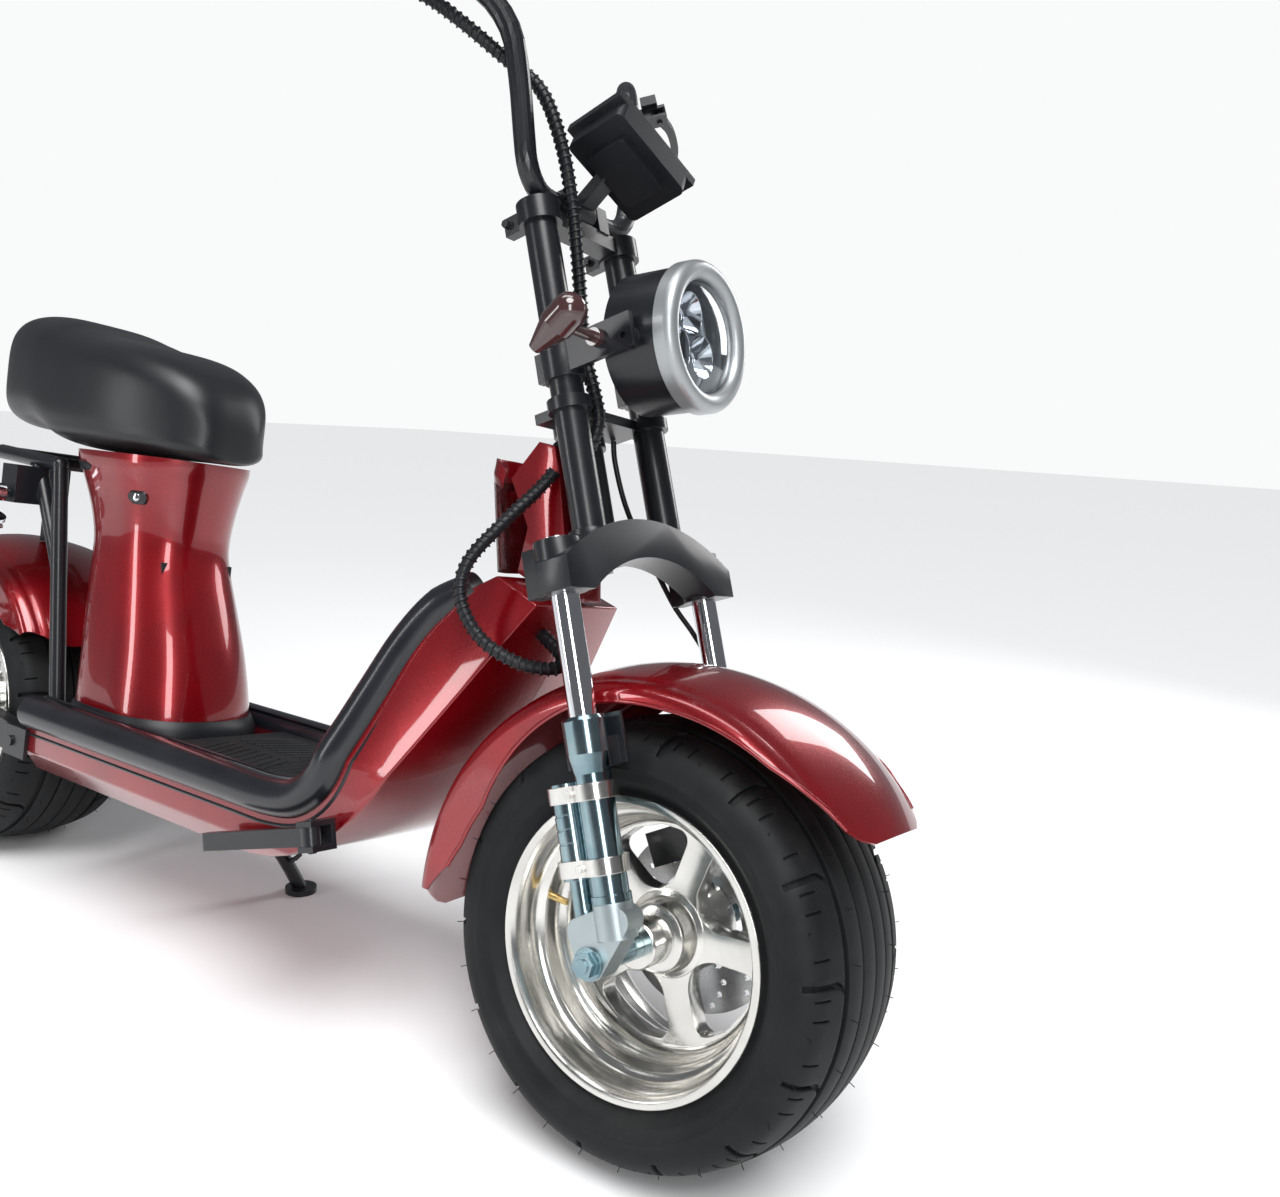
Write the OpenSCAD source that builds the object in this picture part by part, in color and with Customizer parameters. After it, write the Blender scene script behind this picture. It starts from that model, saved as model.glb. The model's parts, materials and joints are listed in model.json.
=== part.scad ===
// Seated electric scooter on two wide tyres, parked leaning left on its side stand.
// Row frame: +X forwards, +Y to the rider's left, +Z up, floor at Z = 0, millimetres.
// Pieces are drawn upright around the wheelbase's middle, and leant as the last step.

/* [Overall] */
// Distance between the two axles
wheelbase = 1400; // [1340:10:1460]
// Lean to the left on the side stand, degrees
lean = 7; // [6:0.5:8]
// Rake of the steering axis from the upright, degrees
rake = 20; // [19:0.5:22]

/* [Tyres and rims] */
// Height of both tyres' side walls, from the rim's flange to the crown
sidewall = 78.5; // [76:0.5:82]
// Radius of the tread's crown across the tyre
crown_r = 300; // [280:5:330]
// Width of the tyres at the shoulders
tyre_w = 216; // [206:2:220]
// Radius of the rounded shoulders
shoulder_r = 30; // [26:1:34]
// Radius of the rim's flange
rim_r = 160; // [156:1:163]
// Width of the rim over its flanges
rim_w = 190; // [184:1:194]
// Wall of the rim's barrel
rim_wall = 6; // [5:0.5:8]
// Thickness of the front wheel's spokes
web_t = 24; // [18:1:28]
// Number of spokes in the front wheel
spokes = 5; // [5:1:6]
// Radius of the front hub
hub_r = 38; // [34:1:42]
// Length of the front hub over its ends
hub_len = 150; // [136:2:160]
// Radius of the wheel axles
axle_r = 7.5; // [6:0.5:9]
// Radius of the brake discs
disc_r = 104; // [96:1:108]
// Thickness of the brake discs
disc_t = 4; // [3:0.5:5]
// Distance of the front brake disc from the wheel's middle
disc_y = 58; // [52:1:64]
// Distance of the rear brake disc from the wheel's middle
rear_disc_y = 74; // [72:1:80]
// Radius of the hubs' ends, inside the brake discs
hub_end_r = 26; // [24:1:30]

/* [Fork] */
// Half the distance between the two fork legs
leg_y = 141; // [139:1:146]
// Fork legs ahead of the front axle
leg_x = 30; // [26:1:34]
// Radius of the polished stanchions
stanchion_r = 15; // [13:0.5:17]
// Radius of the lower fork legs
slider_r = 19; // [17:0.5:21]
// Height of the lower legs' top above the axle, along the fork
slider_top = 242; // [230:1:260]
// Height of the lower yoke's underside above the axle
yoke_z = 370; // [360:1:385]
// Height of the lower yoke's end clamps
yoke_h = 56; // [50:1:62]
// Half the distance between the two black upper tubes
tube_y = 78; // [72:1:84]
// Radius of the upper tubes
tube_r = 19; // [17:0.5:20]
// Height of the top yoke's underside above the axle
top_z = 800; // [780:5:820]
// Distance of the steering axis behind the upper tubes
stem_back = 50; // [46:1:56]
// Radius of the steering stem
stem_r = 14; // [12:0.5:16]
// Length of the head tube
head_len = 120; // [110:2:124]
// Radius of the head tube
head_r = 27; // [25:0.5:30]

/* [Handlebar and lights] */
// Radius of the handlebar tube
bar_r = 12.5; // [11:0.5:13]
// Height of the grips above the handlebar's clamps
bar_rise = 235; // [210:5:260]
// Half the handlebar's width at the grip ends
bar_half = 370; // [340:5:390]
// Length of the grips
grip_len = 125; // [115:5:135]
// Radius of the headlight's ring
lamp_r = 84; // [80:1:88]
// Depth of the headlight's bucket
lamp_d = 120; // [105:1:130]
// Height of the headlight above the axle, along the fork
lamp_z = 632; // [622:1:640]

/* [Body] */
// Half the width of the foot board
floor_half = 150; // [140:1:158]
// Height of the foot board's top
floor_z = 283; // [278:1:288]
// Depth of the foot board's box
floor_d = 86; // [78:1:92]
// Slope of the down section from the level, degrees
down_a = 59.5; // [58:0.5:61]
// Thickness of the down section
down_t = 50; // [44:1:54]
// Bend radius of the belly underneath
belly_r = 340; // [320:5:350]
// Half the width of the down section where it meets the neck
neck_half = 40; // [36:1:44]
// Height of the seat's underside
seat_z = 694; // [680:2:710]
// Half the width of the seat
seat_half = 132; // [122:1:140]
// Wall of the seat box
box_wall = 4; // [3:0.5:6]
// Radius of the black bumper along the foot board's edges
trim_r = 24; // [22:0.5:26]

/* [Fenders] */
// Gap between the tyres and the fenders' crown
fender_gap = 58.5; // [52:0.5:60]
// Half the width of the fenders
fender_half = 118; // [114:1:121]
// Wall of the fenders
fender_t = 3; // [2.5:0.5:4]

/* [Hidden] */
$fn = 48;

RED = [0.62, 0.02, 0.06];
BLACK = [0.07, 0.08, 0.09];
ALLOY = [0.76, 0.75, 0.72];
CHROME = [0.85, 0.85, 0.87];
STEEL = [0.42, 0.52, 0.56];

tyre_r = rim_r + sidewall;
web_r = rim_r - 39;     // radius at which the spokes meet the barrel
motor_r = web_r - 9;    // radius of the rear hub motor
fender_r = tyre_r + fender_gap;
front_x = wheelbase / 2;
rear_x = -wheelbase / 2;
run = 0.05;             // radial running clearance at spinning fits
seat_gap = 0.3;         // rest gap between touching curved faces
bar_play = 0.4;         // clearance of what is clamped round the handlebar
// the middle of the packed part's box, so that the origin is under it
shift_x = 43;
shift_y = -112;

// Frames

module upright() {
    translate([shift_x, shift_y, crown_r]) rotate([-lean, 0, 0])
        translate([0, 0, -crown_r]) children();
}
module steer() {
    upright() translate([front_x, 0, tyre_r]) rotate([0, -rake, 0]) children();
}
module front_hub() {
    steer() children();
}
module rear_hub() {
    upright() translate([rear_x, 0, tyre_r]) children();
}
module both_sides() {
    children();
    mirror([0, 1, 0]) children();
}
module on_y(y0, y1, r) {
    translate([0, y1, 0]) rotate([90, 0, 0]) cylinder(r = r, h = y1 - y0);
}

// Outlines

// A convex polygon grown by r, each corner an arc of k steps. Points run anticlockwise.
function heading(a, b) = atan2(b[1] - a[1], b[0] - a[0]);
function round_points(p, r, k = 5) = [for (i = [0 : len(p) - 1])
    let (n = len(p), t0 = heading(p[(i + n - 1) % n], p[i]), t1 = heading(p[i], p[(i + 1) % n]),
        turn = (t1 - t0 + 720) % 360)
    each [for (j = [0 : k]) let (a = t0 - 90 + turn * j / k) p[i] + r * [cos(a), sin(a)]]];
module rounded(points, r) {
    polygon(round_points(points, r));
}
function lerp(a, b, t) = a + (b - a) * t;

// Skin over rings that all have the same number of points
module skin(rings) {
    n = len(rings[0]);
    m = len(rings);
    points = [for (ring = rings) each ring];
    sides = [for (i = [0 : m - 2], j = [0 : n - 1])
        each [[i * n + j, i * n + (j + 1) % n, (i + 1) * n + (j + 1) % n],
              [i * n + j, (i + 1) * n + (j + 1) % n, (i + 1) * n + j]]];
    start = [for (j = [n - 1 : -1 : 0]) j];
    end = [for (j = [0 : n - 1]) (m - 1) * n + j];
    polyhedron(points = points, faces = concat([start], sides, [end]));
}

// Points on a smooth curve through the given ones, k to a span
function smooth(p, k) = [for (i = [0 : len(p) - 2], s = [0 : k - 1])
    let (a = p[max(i - 1, 0)], b = p[i], c = p[i + 1], d = p[min(i + 2, len(p) - 1)], t = s / k)
    0.5 * ((2 * b) + (c - a) * t + (2 * a - 5 * b + 4 * c - d) * t * t
        + (3 * b - a - 3 * c + d) * t * t * t), p[len(p) - 1]];
function unit(v) = v / norm(v);
function ring_at(p, along, r, n, side) = let (u = unit(cross(along, side)), v = cross(unit(along), u))
    [for (j = [0 : n - 1]) p + r * cos(360 * j / n) * u - r * sin(360 * j / n) * v];
// A round cord or tube along points
module swept(p, r, n = 10, side = [0.05, 1, 0.08]) {
    skin([for (i = [0 : len(p) - 1])
        ring_at(p[i], p[min(i + 1, len(p) - 1)] - p[max(i - 1, 0)], r, n, side)]);
}

// Wheels

shoulder_y = tyre_w / 2 - shoulder_r;
shoulder_x = tyre_r - crown_r + sqrt(pow(crown_r - shoulder_r, 2) - shoulder_y * shoulder_y);
crown_half = shoulder_y * crown_r / (crown_r - shoulder_r);
bead_r = rim_r - 9;
bead_half = rim_w / 2 - rim_wall - seat_gap;
tyre_wall = 13;

module tyre_section() {
    difference() {
        union() {
            intersection() {
                translate([tyre_r - crown_r, 0]) circle(r = crown_r, $fn = 180);
                translate([shoulder_x, -crown_half]) square([tyre_r, 2 * crown_half]);
            }
            for (s = [-1, 1]) translate([shoulder_x, s * shoulder_y]) circle(r = shoulder_r);
            polygon([[bead_r, -bead_half], [rim_r + 4, -bead_half], [shoulder_x, -tyre_w / 2],
                [shoulder_x, tyre_w / 2], [rim_r + 4, bead_half], [bead_r, bead_half]]);
        }
        polygon([[bead_r - 1, -bead_half + tyre_wall], [rim_r + 6, -bead_half + tyre_wall],
            [shoulder_x, -tyre_w / 2 + tyre_wall], [tyre_r - 26, -tyre_w / 2 + 2.6 * tyre_wall],
            [tyre_r - 18, 0], [tyre_r - 26, tyre_w / 2 - 2.6 * tyre_wall],
            [shoulder_x, tyre_w / 2 - tyre_wall], [rim_r + 6, bead_half - tyre_wall],
            [bead_r - 1, bead_half - tyre_wall]]);
    }
}
module spun() {
    rotate([90, 0, 0]) rotate_extrude($fn = 96) children();
}
module tyre() {
    color(BLACK) spun() tyre_section();
}

// The barrel's wall, listed as [radius, distance from the middle] from the right lip inwards
web_front = -web_t / 2 - 2;     // right face of the spokes, seen in the deep dish
dish = [[rim_r, -rim_w / 2], [rim_r - 8, -rim_w / 2], [rim_r - 13, -rim_w / 2 + 8],
    [rim_r - 15, -rim_w / 2 + 34], [rim_r - 24, -rim_w / 2 + 40], [rim_r - 26, -rim_w / 2 + 58],
    [web_r + 3, -rim_w / 2 + 66], [web_r, web_front]];
dish_left = [for (i = [len(dish) - 1 : -1 : 0]) [dish[i][0], -dish[i][1]]];
barrel_outer = [[rim_r, rim_w / 2 - rim_wall], [bead_r - 1, rim_w / 2 - rim_wall],
    [bead_r - 1, rim_w / 2 - 36], [rim_r - 18, rim_w / 2 - 42], [rim_r - 20, rim_w / 2 - 60],
    [web_r + 3 + rim_wall, rim_w / 2 - 68]];
barrel_right = [for (i = [len(barrel_outer) - 1 : -1 : 0]) [barrel_outer[i][0], -barrel_outer[i][1]]];
module barrel_section() {
    polygon(concat(dish, dish_left, barrel_outer, barrel_right));
}
module valve() {
    translate([0, 0, 0]) rotate([0, 205, 0]) translate([web_r + 14, -rim_w / 2 + 46, 0])
        rotate([0, -90, 0]) cylinder(r = 4, h = 26, $fn = 24);
}

// Windows between the spokes
window_in = hub_r + 26;
window_out = web_r - 21;
window_r = 13;
module spoke_windows() {
    w_in = 180 / spokes * 0.30;
    w_out = 180 / spokes * 0.57;
    for (i = [0 : spokes - 1]) rotate(90 + i * 360 / spokes)
        rounded([[window_in * cos(w_in), -window_in * sin(w_in)],
            [window_out * cos(w_out), -window_out * sin(w_out)], [window_out + 5, 0],
            [window_out * cos(w_out), window_out * sin(w_out)],
            [window_in * cos(w_in), window_in * sin(w_in)]], window_r);
}
module rim_web() {
    rotate([90, 0, 0]) translate([0, 0, -web_t / 2]) linear_extrude(web_t) difference() {
        circle(r = web_r + rim_wall / 2, $fn = 96);
        spoke_windows();
    }
}
module front_rim() {
    color(ALLOY) difference() {
        union() {
            spun() barrel_section();
            rim_web();
            on_y(-hub_len / 2, hub_len / 2, hub_end_r);
            on_y(-web_t / 2 - 26, web_t / 2 + 20, hub_r);
            on_y(web_t / 2, disc_y - disc_t / 2 - seat_gap, hub_r + 12);
            valve();
        }
        on_y(-hub_len, hub_len, axle_r + run);
    }
}
// Brake disc with a swept pattern of round holes
module brake_disc(y) {
    bore = hub_end_r + seat_gap;
    color(CHROME) rotate([90, 0, 0]) translate([0, 0, -y - disc_t / 2]) linear_extrude(disc_t)
        difference() {
            circle(r = disc_r, $fn = 96);
            circle(r = bore);
            for (i = [0 : 11], k = [0 : 2])
                rotate(i * 30 + k * 8) translate([disc_r - 9 - k * 11, 0]) circle(r = 3.6, $fn = 20);
            for (i = [0 : 5]) rotate(i * 60)
                rounded([[bore + 18, -9], [bore + 26, -12], [bore + 26, 12], [bore + 18, 9]], 4);
        }
}
// Nut with six flats and a round washer face
module nut(r, h) {
    cylinder(r = r * 1.28, h = h * 0.25);
    cylinder(r = r, h = h, $fn = 6);
}
leg_half = 14;          // half the thickness of the dropout castings
axle_end = leg_y + leg_half;
module front_axle() {
    color(STEEL) {
        on_y(-axle_end - 14, axle_end + 14, axle_r);
        both_sides() translate([0, -axle_end - seat_gap, 0]) rotate([90, 0, 0]) nut(13, 12);
        both_sides() on_y(hub_len / 2 + seat_gap, leg_y - leg_half - seat_gap, axle_r + 6);
    }
}
// Caliper astride its disc, at an angle up from the front
caliper_a = 98;
pad_gap = 8;            // slot in the calipers that the disc runs in
module caliper(a, y, seat_y) {
    rotate([0, -a, 0]) {
        difference() {
            translate([disc_r - 34, y - 20, -26]) cube([40, 42, 52]);
            translate([0, y - pad_gap / 2, -40]) cube([disc_r + 3, pad_gap, 80]);
        }
        for (z = [-13, 13]) translate([disc_r - 16, y + 21, z])
            rotate([-90, 0, 0]) cylinder(r = 11, h = 7);
        translate([disc_r - 20, y + 20, -26]) cube([26, seat_y - seat_gap - y - 20, 12]);
    }
}
module front_caliper() {
    color(BLACK) caliper(caliper_a, disc_y, leg_y - slider_r - 1);
}

// Rear wheel

module rear_rim() {
    color(ALLOY) difference() {
        union() {
            spun() barrel_section();
            difference() {
                on_y(-web_t / 2, web_t / 2, web_r + rim_wall / 2);
                on_y(-web_t, web_t, motor_r + seat_gap);
            }
        }
        on_y(-2, 2, motor_r + seat_gap);
    }
}
motor_half = 44;
module hub_motor() {
    color(ALLOY) difference() {
        union() {
            on_y(-motor_half, motor_half, motor_r);
            on_y(-motor_half - 8, motor_half + 5, motor_r - 16);
            on_y(-motor_half - 24, rear_disc_y - disc_t / 2 - seat_gap, hub_r + 12);
            for (i = [0 : 11]) rotate([0, i * 30, 0]) translate([motor_r - 8, 0, 0])
                on_y(-motor_half - 4, motor_half + 3, 3.6);
        }
        on_y(-200, 200, axle_r + run);
        for (i = [0 : 5]) rotate([0, i * 60, 0]) translate([motor_r - 36, 0, 0])
            on_y(-motor_half - 12, -motor_half - 5, 13);
    }
}
arm_y = 136;            // middle of the swingarm's tubes
arm_half = 12;
module rear_axle() {
    color(STEEL) {
        on_y(-arm_y - arm_half - 14, arm_y + arm_half + 14, axle_r);
        both_sides() translate([0, -arm_y - arm_half - seat_gap, 0]) rotate([90, 0, 0]) nut(13, 12);
        on_y(-arm_y + arm_half + seat_gap, -motor_half - 24 - seat_gap, axle_r + 6);
        on_y(rear_disc_y + disc_t / 2 + 6, arm_y - arm_half - seat_gap, axle_r + 6);
    }
}
module rear_caliper() {
    color(BLACK) caliper(22, rear_disc_y, arm_y - arm_half);
}

// Fork, in the steering frame

module leg_at(s) {
    translate([leg_x, s * leg_y, 0]) children();
}
damper_x = -36;         // the second cylinder behind each leg
band_z = [84, 158];     // undersides of the two silver bands
band_h = 17;
drop_top = 54;
module fork_dropouts() {
    color([0.66, 0.72, 0.72]) both_sides() difference() {
        union() {
            translate([0, leg_y + leg_half, 0]) rotate([90, 0, 0]) linear_extrude(2 * leg_half)
                rounded([[-3, -4], [3, -4], [leg_x + 12, drop_top - 16], [leg_x + 6, drop_top - 12],
                    [leg_x + damper_x - 2, drop_top - 22]], 13);
            leg_at(1) translate([0, 0, drop_top - 34]) cylinder(r = slider_r + 1.5, h = 36);
        }
        on_y(0, 400, axle_r + run);
        leg_at(1) translate([0, 0, drop_top - 20]) cylinder(r = slider_r + run, h = 80);
        leg_at(1) translate([damper_x, 0, drop_top - 16]) cylinder(r = 11 + run, h = 80);
    }
}
module fork_lower_legs() {
    color(STEEL) both_sides() leg_at(1) difference() {
        union() {
            translate([0, 0, drop_top - 20]) cylinder(r = slider_r, h = slider_top - drop_top - 20);
            translate([0, 0, drop_top + 2]) cylinder(r = slider_r + 1.5, h = 8);
            translate([0, 0, slider_top - 58]) cylinder(r1 = slider_r, r2 = slider_r + 4, h = 20);
            translate([0, 0, slider_top - 38]) cylinder(r = slider_r + 4, h = 34);
            translate([0, 0, slider_top - 4]) cylinder(r1 = slider_r + 4, r2 = slider_r + 1, h = 4);
        }
        translate([0, 0, slider_top - 100]) cylinder(r = stanchion_r + run, h = 120);
    }
}
module fork_bands() {
    color(CHROME) both_sides() leg_at(1) for (z = band_z) translate([0, 0, z]) difference() {
        union() {
            cylinder(r = slider_r + 5, h = band_h);
            translate([damper_x, 0, 0]) cylinder(r = 20, h = band_h);
            translate([damper_x, -slider_r - 1, 0]) cube([-damper_x, 2 * slider_r + 2, band_h]);
            translate([damper_x / 2, slider_r + 1, band_h / 2]) rotate([-90, 0, 0])
                cylinder(r = 4, h = 4, $fn = 6);
        }
        translate([0, 0, -1]) cylinder(r = slider_r + run, h = band_h + 2);
        translate([damper_x, 0, -1]) cylinder(r = 16 + run, h = band_h + 2);
    }
}
module fork_dampers() {
    both_sides() leg_at(1) translate([damper_x, 0, 0]) {
        color(STEEL) difference() {
            translate([0, 0, band_z[0] - 3]) cylinder(r = 16, h = band_z[1] + band_h - band_z[0] + 6);
            for (k = [0 : 2]) translate([0, 0, band_z[0] + band_h + 16 + k * 14]) difference() {
                cylinder(r = 17, h = 2);
                translate([0, 0, -1]) cylinder(r = 15, h = 4);
            }
        }
        color([0.2, 0.12, 0.1]) translate([0, 0, drop_top - 16]) cylinder(r = 11, h = 50);
    }
}
module fork_stanchions() {
    color(CHROME) both_sides() leg_at(1)
        translate([0, 0, slider_top - 98]) cylinder(r = stanchion_r, h = yoke_z + yoke_h + 3 - slider_top + 98);
}

// Arched lower yoke with a clamp at each end and a boss for the steering stem
stem_x = leg_x - stem_back;
yoke_end = leg_y + 26;
yoke_depth = 42;
module yoke_front_view() {
    difference() {
        intersection() {
            translate([-yoke_end, yoke_z]) square([2 * yoke_end, 90]);
            translate([0, yoke_z + 84 - 300]) circle(r = 300, $fn = 180);
        }
        translate([0, yoke_z - 172]) circle(r = 212, $fn = 180);
    }
}
module lower_yoke() {
    color(BLACK) difference() {
        union() {
            translate([leg_x - 13, 0, 0]) rotate([90, 0, 90])
                linear_extrude(yoke_depth) yoke_front_view();
            both_sides() leg_at(1) translate([0, 0, yoke_z]) cylinder(r = stanchion_r + 10, h = yoke_h);
            both_sides() translate([leg_x - 38, leg_y - 13, yoke_z]) cube([38, 26, yoke_h - 4]);
            translate([stem_x, 0, yoke_z + 46]) cylinder(r = stem_r + 12, h = 26);
            translate([stem_x, -26, yoke_z + 46]) cube([stem_back, 52, 24]);
            both_sides() translate([leg_x, tube_y, yoke_z + 50]) cylinder(r = tube_r + 5, h = 22);
        }
        both_sides() leg_at(1) translate([0, 0, yoke_z - 5]) cylinder(r = stanchion_r + run, h = 90);
        both_sides() translate([leg_x - 45, leg_y - 1.5, yoke_z - 1]) cube([30, 3, yoke_h + 20]);
        translate([stem_x, 0, yoke_z]) cylinder(r = stem_r + run, h = 90);
        both_sides() translate([leg_x, tube_y, yoke_z + 60]) cylinder(r = tube_r + run, h = 90);
    }
}
tube_foot = yoke_z + 60;
module upper_tubes() {
    color(BLACK) both_sides() translate([leg_x, tube_y, tube_foot])
        cylinder(r = tube_r, h = top_z + 24 - tube_foot);
}
// Head tube's ends along the steering axis
head_z = yoke_z + 46 + 26 + 8;
head_top = head_z + head_len;
plate_z = head_top + 8;
module tube_ring(z, h, wall) {
    both_sides() translate([leg_x, tube_y, z]) cylinder(r = tube_r + wall, h = h);
}
module tube_bores() {
    both_sides() translate([leg_x, tube_y, tube_foot]) cylinder(r = tube_r + run, h = 600);
}
ear_y = lamp_r + 2;
ear_t = 7;
module mid_plate() {
    ear_z = lamp_z - 18;
    color(BLACK) difference() {
        union() {
            tube_ring(plate_z, 14, 6);
            translate([stem_x, 0, plate_z]) cylinder(r = stem_r + 14, h = 14);
            translate([stem_x, -tube_y, plate_z]) cube([stem_back, 2 * tube_y, 12]);
            tube_ring(ear_z, 50, 5);
            // ears that carry the headlight
            both_sides() translate([leg_x, ear_y, ear_z + 4]) cube([104, ear_t, 38]);
            both_sides() translate([leg_x - 34, tube_y - 5, ear_z + 6]) cube([20, 10, 34]);
        }
        tube_bores();
        translate([stem_x, 0, plate_z - 1]) cylinder(r = stem_r + run, h = 40);
        translate([leg_x + 92, 0, lamp_z]) on_y(-200, 200, 4);
    }
}
module top_yoke() {
    color(BLACK) difference() {
        union() {
            tube_ring(top_z, 26, 6);
            translate([leg_x - 13, -tube_y, top_z + 2]) cube([26, 2 * tube_y, 20]);
            both_sides() translate([leg_x - 46, tube_y - 7, top_z + 2]) cube([36, 14, 22]);
            both_sides() translate([leg_x - 40, tube_y + 14, top_z + 15]) rotate([90, 0, 0])
                cylinder(r = 5, h = 28, $fn = 6);
            // risers and caps that hold the handlebar
            both_sides() translate([leg_x - 15, 22, top_z + 20]) cube([30, 20, 32]);
        }
        tube_bores();
        translate([leg_x, 0, top_z + 40]) on_y(-120, 120, bar_r + bar_play);
    }
}
module steering_stem() {
    color(STEEL) translate([stem_x, 0, yoke_z + 44]) {
        cylinder(r = stem_r, h = plate_z + 22 - yoke_z - 44);
        translate([0, 0, -5]) cylinder(r = 18, h = 5, $fn = 6);
        translate([0, 0, plate_z + 14 - yoke_z - 44 + seat_gap]) cylinder(r = 20, h = 10, $fn = 6);
    }
}

// Fenders: crown, crease and side skirts, swept round the wheel
skirt_in = fender_r - 84;      // the deepest that the skirts reach
// Skirt edges as [angle up from the front, drop below the crown]
front_skirt = [[8, 1], [15, 13], [30, 27], [60, 37], [90, 41], [115, 57], [140, 75], [158, 71], [172, 57]];
rear_skirt = [[20, 61], [34, 71], [60, 57], [90, 41], [120, 39], [150, 29], [176, 17]];
module fender_section(skirt) {
    side = fender_half;
    outer = [[skirt, -side], [fender_r - 34, -side], [fender_r - 14, -side + 34],
        [fender_r - 4, -side + 66], [fender_r, 0], [fender_r - 4, side - 66],
        [fender_r - 14, side - 34], [fender_r - 34, side], [skirt, side]];
    inner = [for (i = [len(outer) - 1 : -1 : 0]) [outer[i][0] - (i == 0 || i == 8 ? 0 : fender_t),
        outer[i][1] * (side - fender_t) / side]];
    polygon(concat(outer, inner));
}
// Sweeps from angle a0 to a1, both up from the front round the wheel
module round_wheel(a0, a1) {
    rotate([90, 0, 0]) mirror([0, 0, 1]) rotate([0, 0, a0]) rotate_extrude(angle = a1 - a0, $fn = 96) children();
}
// A fender from angle a0 to a1, its skirts trimmed along the edge line
module fender(a0, a1, edge) {
    difference() {
        round_wheel(a0, a1) fender_section(skirt_in);
        translate([0, fender_half + 5, 0]) rotate([90, 0, 0]) linear_extrude(2 * fender_half + 10)
            polygon(concat([[0, 0]], [for (e = edge) (fender_r - e[1]) * [cos(e[0]), sin(e[0])]]));
    }
}
module front_fender() {
    color(RED) fender(15, 168, front_skirt);
}
stay_y = fender_half + seat_gap;
module fender_stays() {
    color(BLACK) both_sides() {
        difference() {
            union() {
                translate([leg_x - 24, stay_y, fender_r - 109]) cube([48, leg_y - stay_y, 30]);
                translate([leg_x - 44, stay_y, fender_r - 107]) cube([76, 4, 52]);
            }
            leg_at(1) cylinder(r = slider_r + 4 + run, h = 400);
        }
    }
}
module rear_fender() {
    color(RED) rear_hub() fender(28, 172, rear_skirt);
}

// Headlight, its axis forwards and level in the riding position
lamp_x = 179;           // front of the ring ahead of the axle, along the steering frame
module lamp() {
    translate([lamp_x, 0, lamp_z]) rotate([0, 90 + 0.6 * rake, 0]) children();
}
ring_d = 24;
module headlight_bucket() {
    color(BLACK) difference() {
        union() {
            lamp() translate([0, 0, -lamp_d]) rotate_extrude($fn = 96) difference() {
                intersection() {
                    translate([0, lamp_d * 1.02]) scale(1) circle(r = lamp_d * 1.02, $fn = 120);
                    square([lamp_r - 4, lamp_d - ring_d - seat_gap]);
                }
                intersection() {
                    translate([0, lamp_d * 1.02]) circle(r = lamp_d * 1.02 - 3, $fn = 120);
                    translate([-1, 10]) square([lamp_r - 6, lamp_d]);
                }
            }
            both_sides() translate([leg_x + 92, 0, lamp_z]) on_y(lamp_r - 14, ear_y - seat_gap, 12);
        }
    }
}
module headlight_ring() {
    color(CHROME) lamp() translate([0, 0, -ring_d]) rotate_extrude($fn = 96) difference() {
        union() {
            translate([lamp_r - 11, ring_d - 11]) circle(r = 11);
            translate([lamp_r - 22, 0]) square([22, ring_d - 11]);
        }
        translate([lamp_r - 23, -1]) square([17, 12]);
    }
}
module headlight_lens() {
    color([0.8, 0.9, 0.95, 0.4]) lamp() translate([0, 0, -7]) intersection() {
        translate([0, 0, -136]) difference() {
            sphere(r = 146, $fn = 96);
            sphere(r = 143, $fn = 96);
        }
        translate([0, 0, -20]) cylinder(r = lamp_r - 22 - seat_gap, h = 40, $fn = 96);
    }
}
module headlight_lamps() {
    color(CHROME) lamp() translate([0, 0, -58]) {
        difference() {
            union() {
                cylinder(r1 = lamp_r - 34, r2 = lamp_r - 20, h = 30, $fn = 96);
                translate([0, 0, 27]) cylinder(r = lamp_r - 7 - seat_gap, h = 3, $fn = 96);
            }
            for (a = [90, 210, 330]) rotate(a + 90) translate([29, 0, 4])
                cylinder(r1 = 12, r2 = 26, h = 30);
        }
        for (a = [90, 210, 330]) rotate(a + 90) translate([29, 0, 4]) intersection() {
            sphere(r = 12);
            cylinder(r = 20, h = 20);
        }
    }
}
// Bullet-shaped indicators on short stalks from the headlight ears
module bullet(r, l) {
    cylinder(r = r, h = l * 0.35);
    translate([0, 0, l * 0.35]) intersection() {
        sphere(r = r);
        cylinder(r = r, h = r);
    }
    translate([0, 0, -l * 0.6]) cylinder(r1 = r * 0.35, r2 = r, h = l * 0.6);
}
indicator_y = tube_y + 74;
module front_indicators() {
    both_sides() {
        color(BLACK) translate([leg_x + 60, ear_y + ear_t + seat_gap, lamp_z + 8]) rotate([-90, 0, 0]) {
            cylinder(r = 6, h = indicator_y - ear_y - ear_t);
            cylinder(r = 10, h = 8);
        }
        color([0.25, 0.18, 0.18]) translate([leg_x + 60, indicator_y, lamp_z + 16])
            rotate([0, 66, 0]) translate([0, 0, -10]) bullet(19, 60);
    }
}

// Handlebar: level between its clamps, up both sides, then back to the grips
bar_z = top_z + 40;
riser_y = 106;          // half the distance between the risers
grip_y = bar_half - 140;
bar_path = [[leg_x, 0, bar_z], [leg_x, 30, bar_z], [leg_x, 60, bar_z], [leg_x + 4, 83, bar_z + 6],
    [leg_x + 9, 98, bar_z + 26], [leg_x + 15, riser_y - 3, bar_z + 60], [leg_x + 24, riser_y + 2, bar_z + 120],
    [leg_x + 29, lerp(riser_y, grip_y, 0.1), bar_z + bar_rise - 62],
    [leg_x + 16, lerp(riser_y, grip_y, 0.29), bar_z + bar_rise - 20],
    [leg_x - 12, lerp(riser_y, grip_y, 0.645), bar_z + bar_rise - 2], [leg_x - 36, grip_y, bar_z + bar_rise]];
grip_dir = unit([-0.42, 0.9, -0.09]);
grip_start = bar_path[len(bar_path) - 1];
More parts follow.
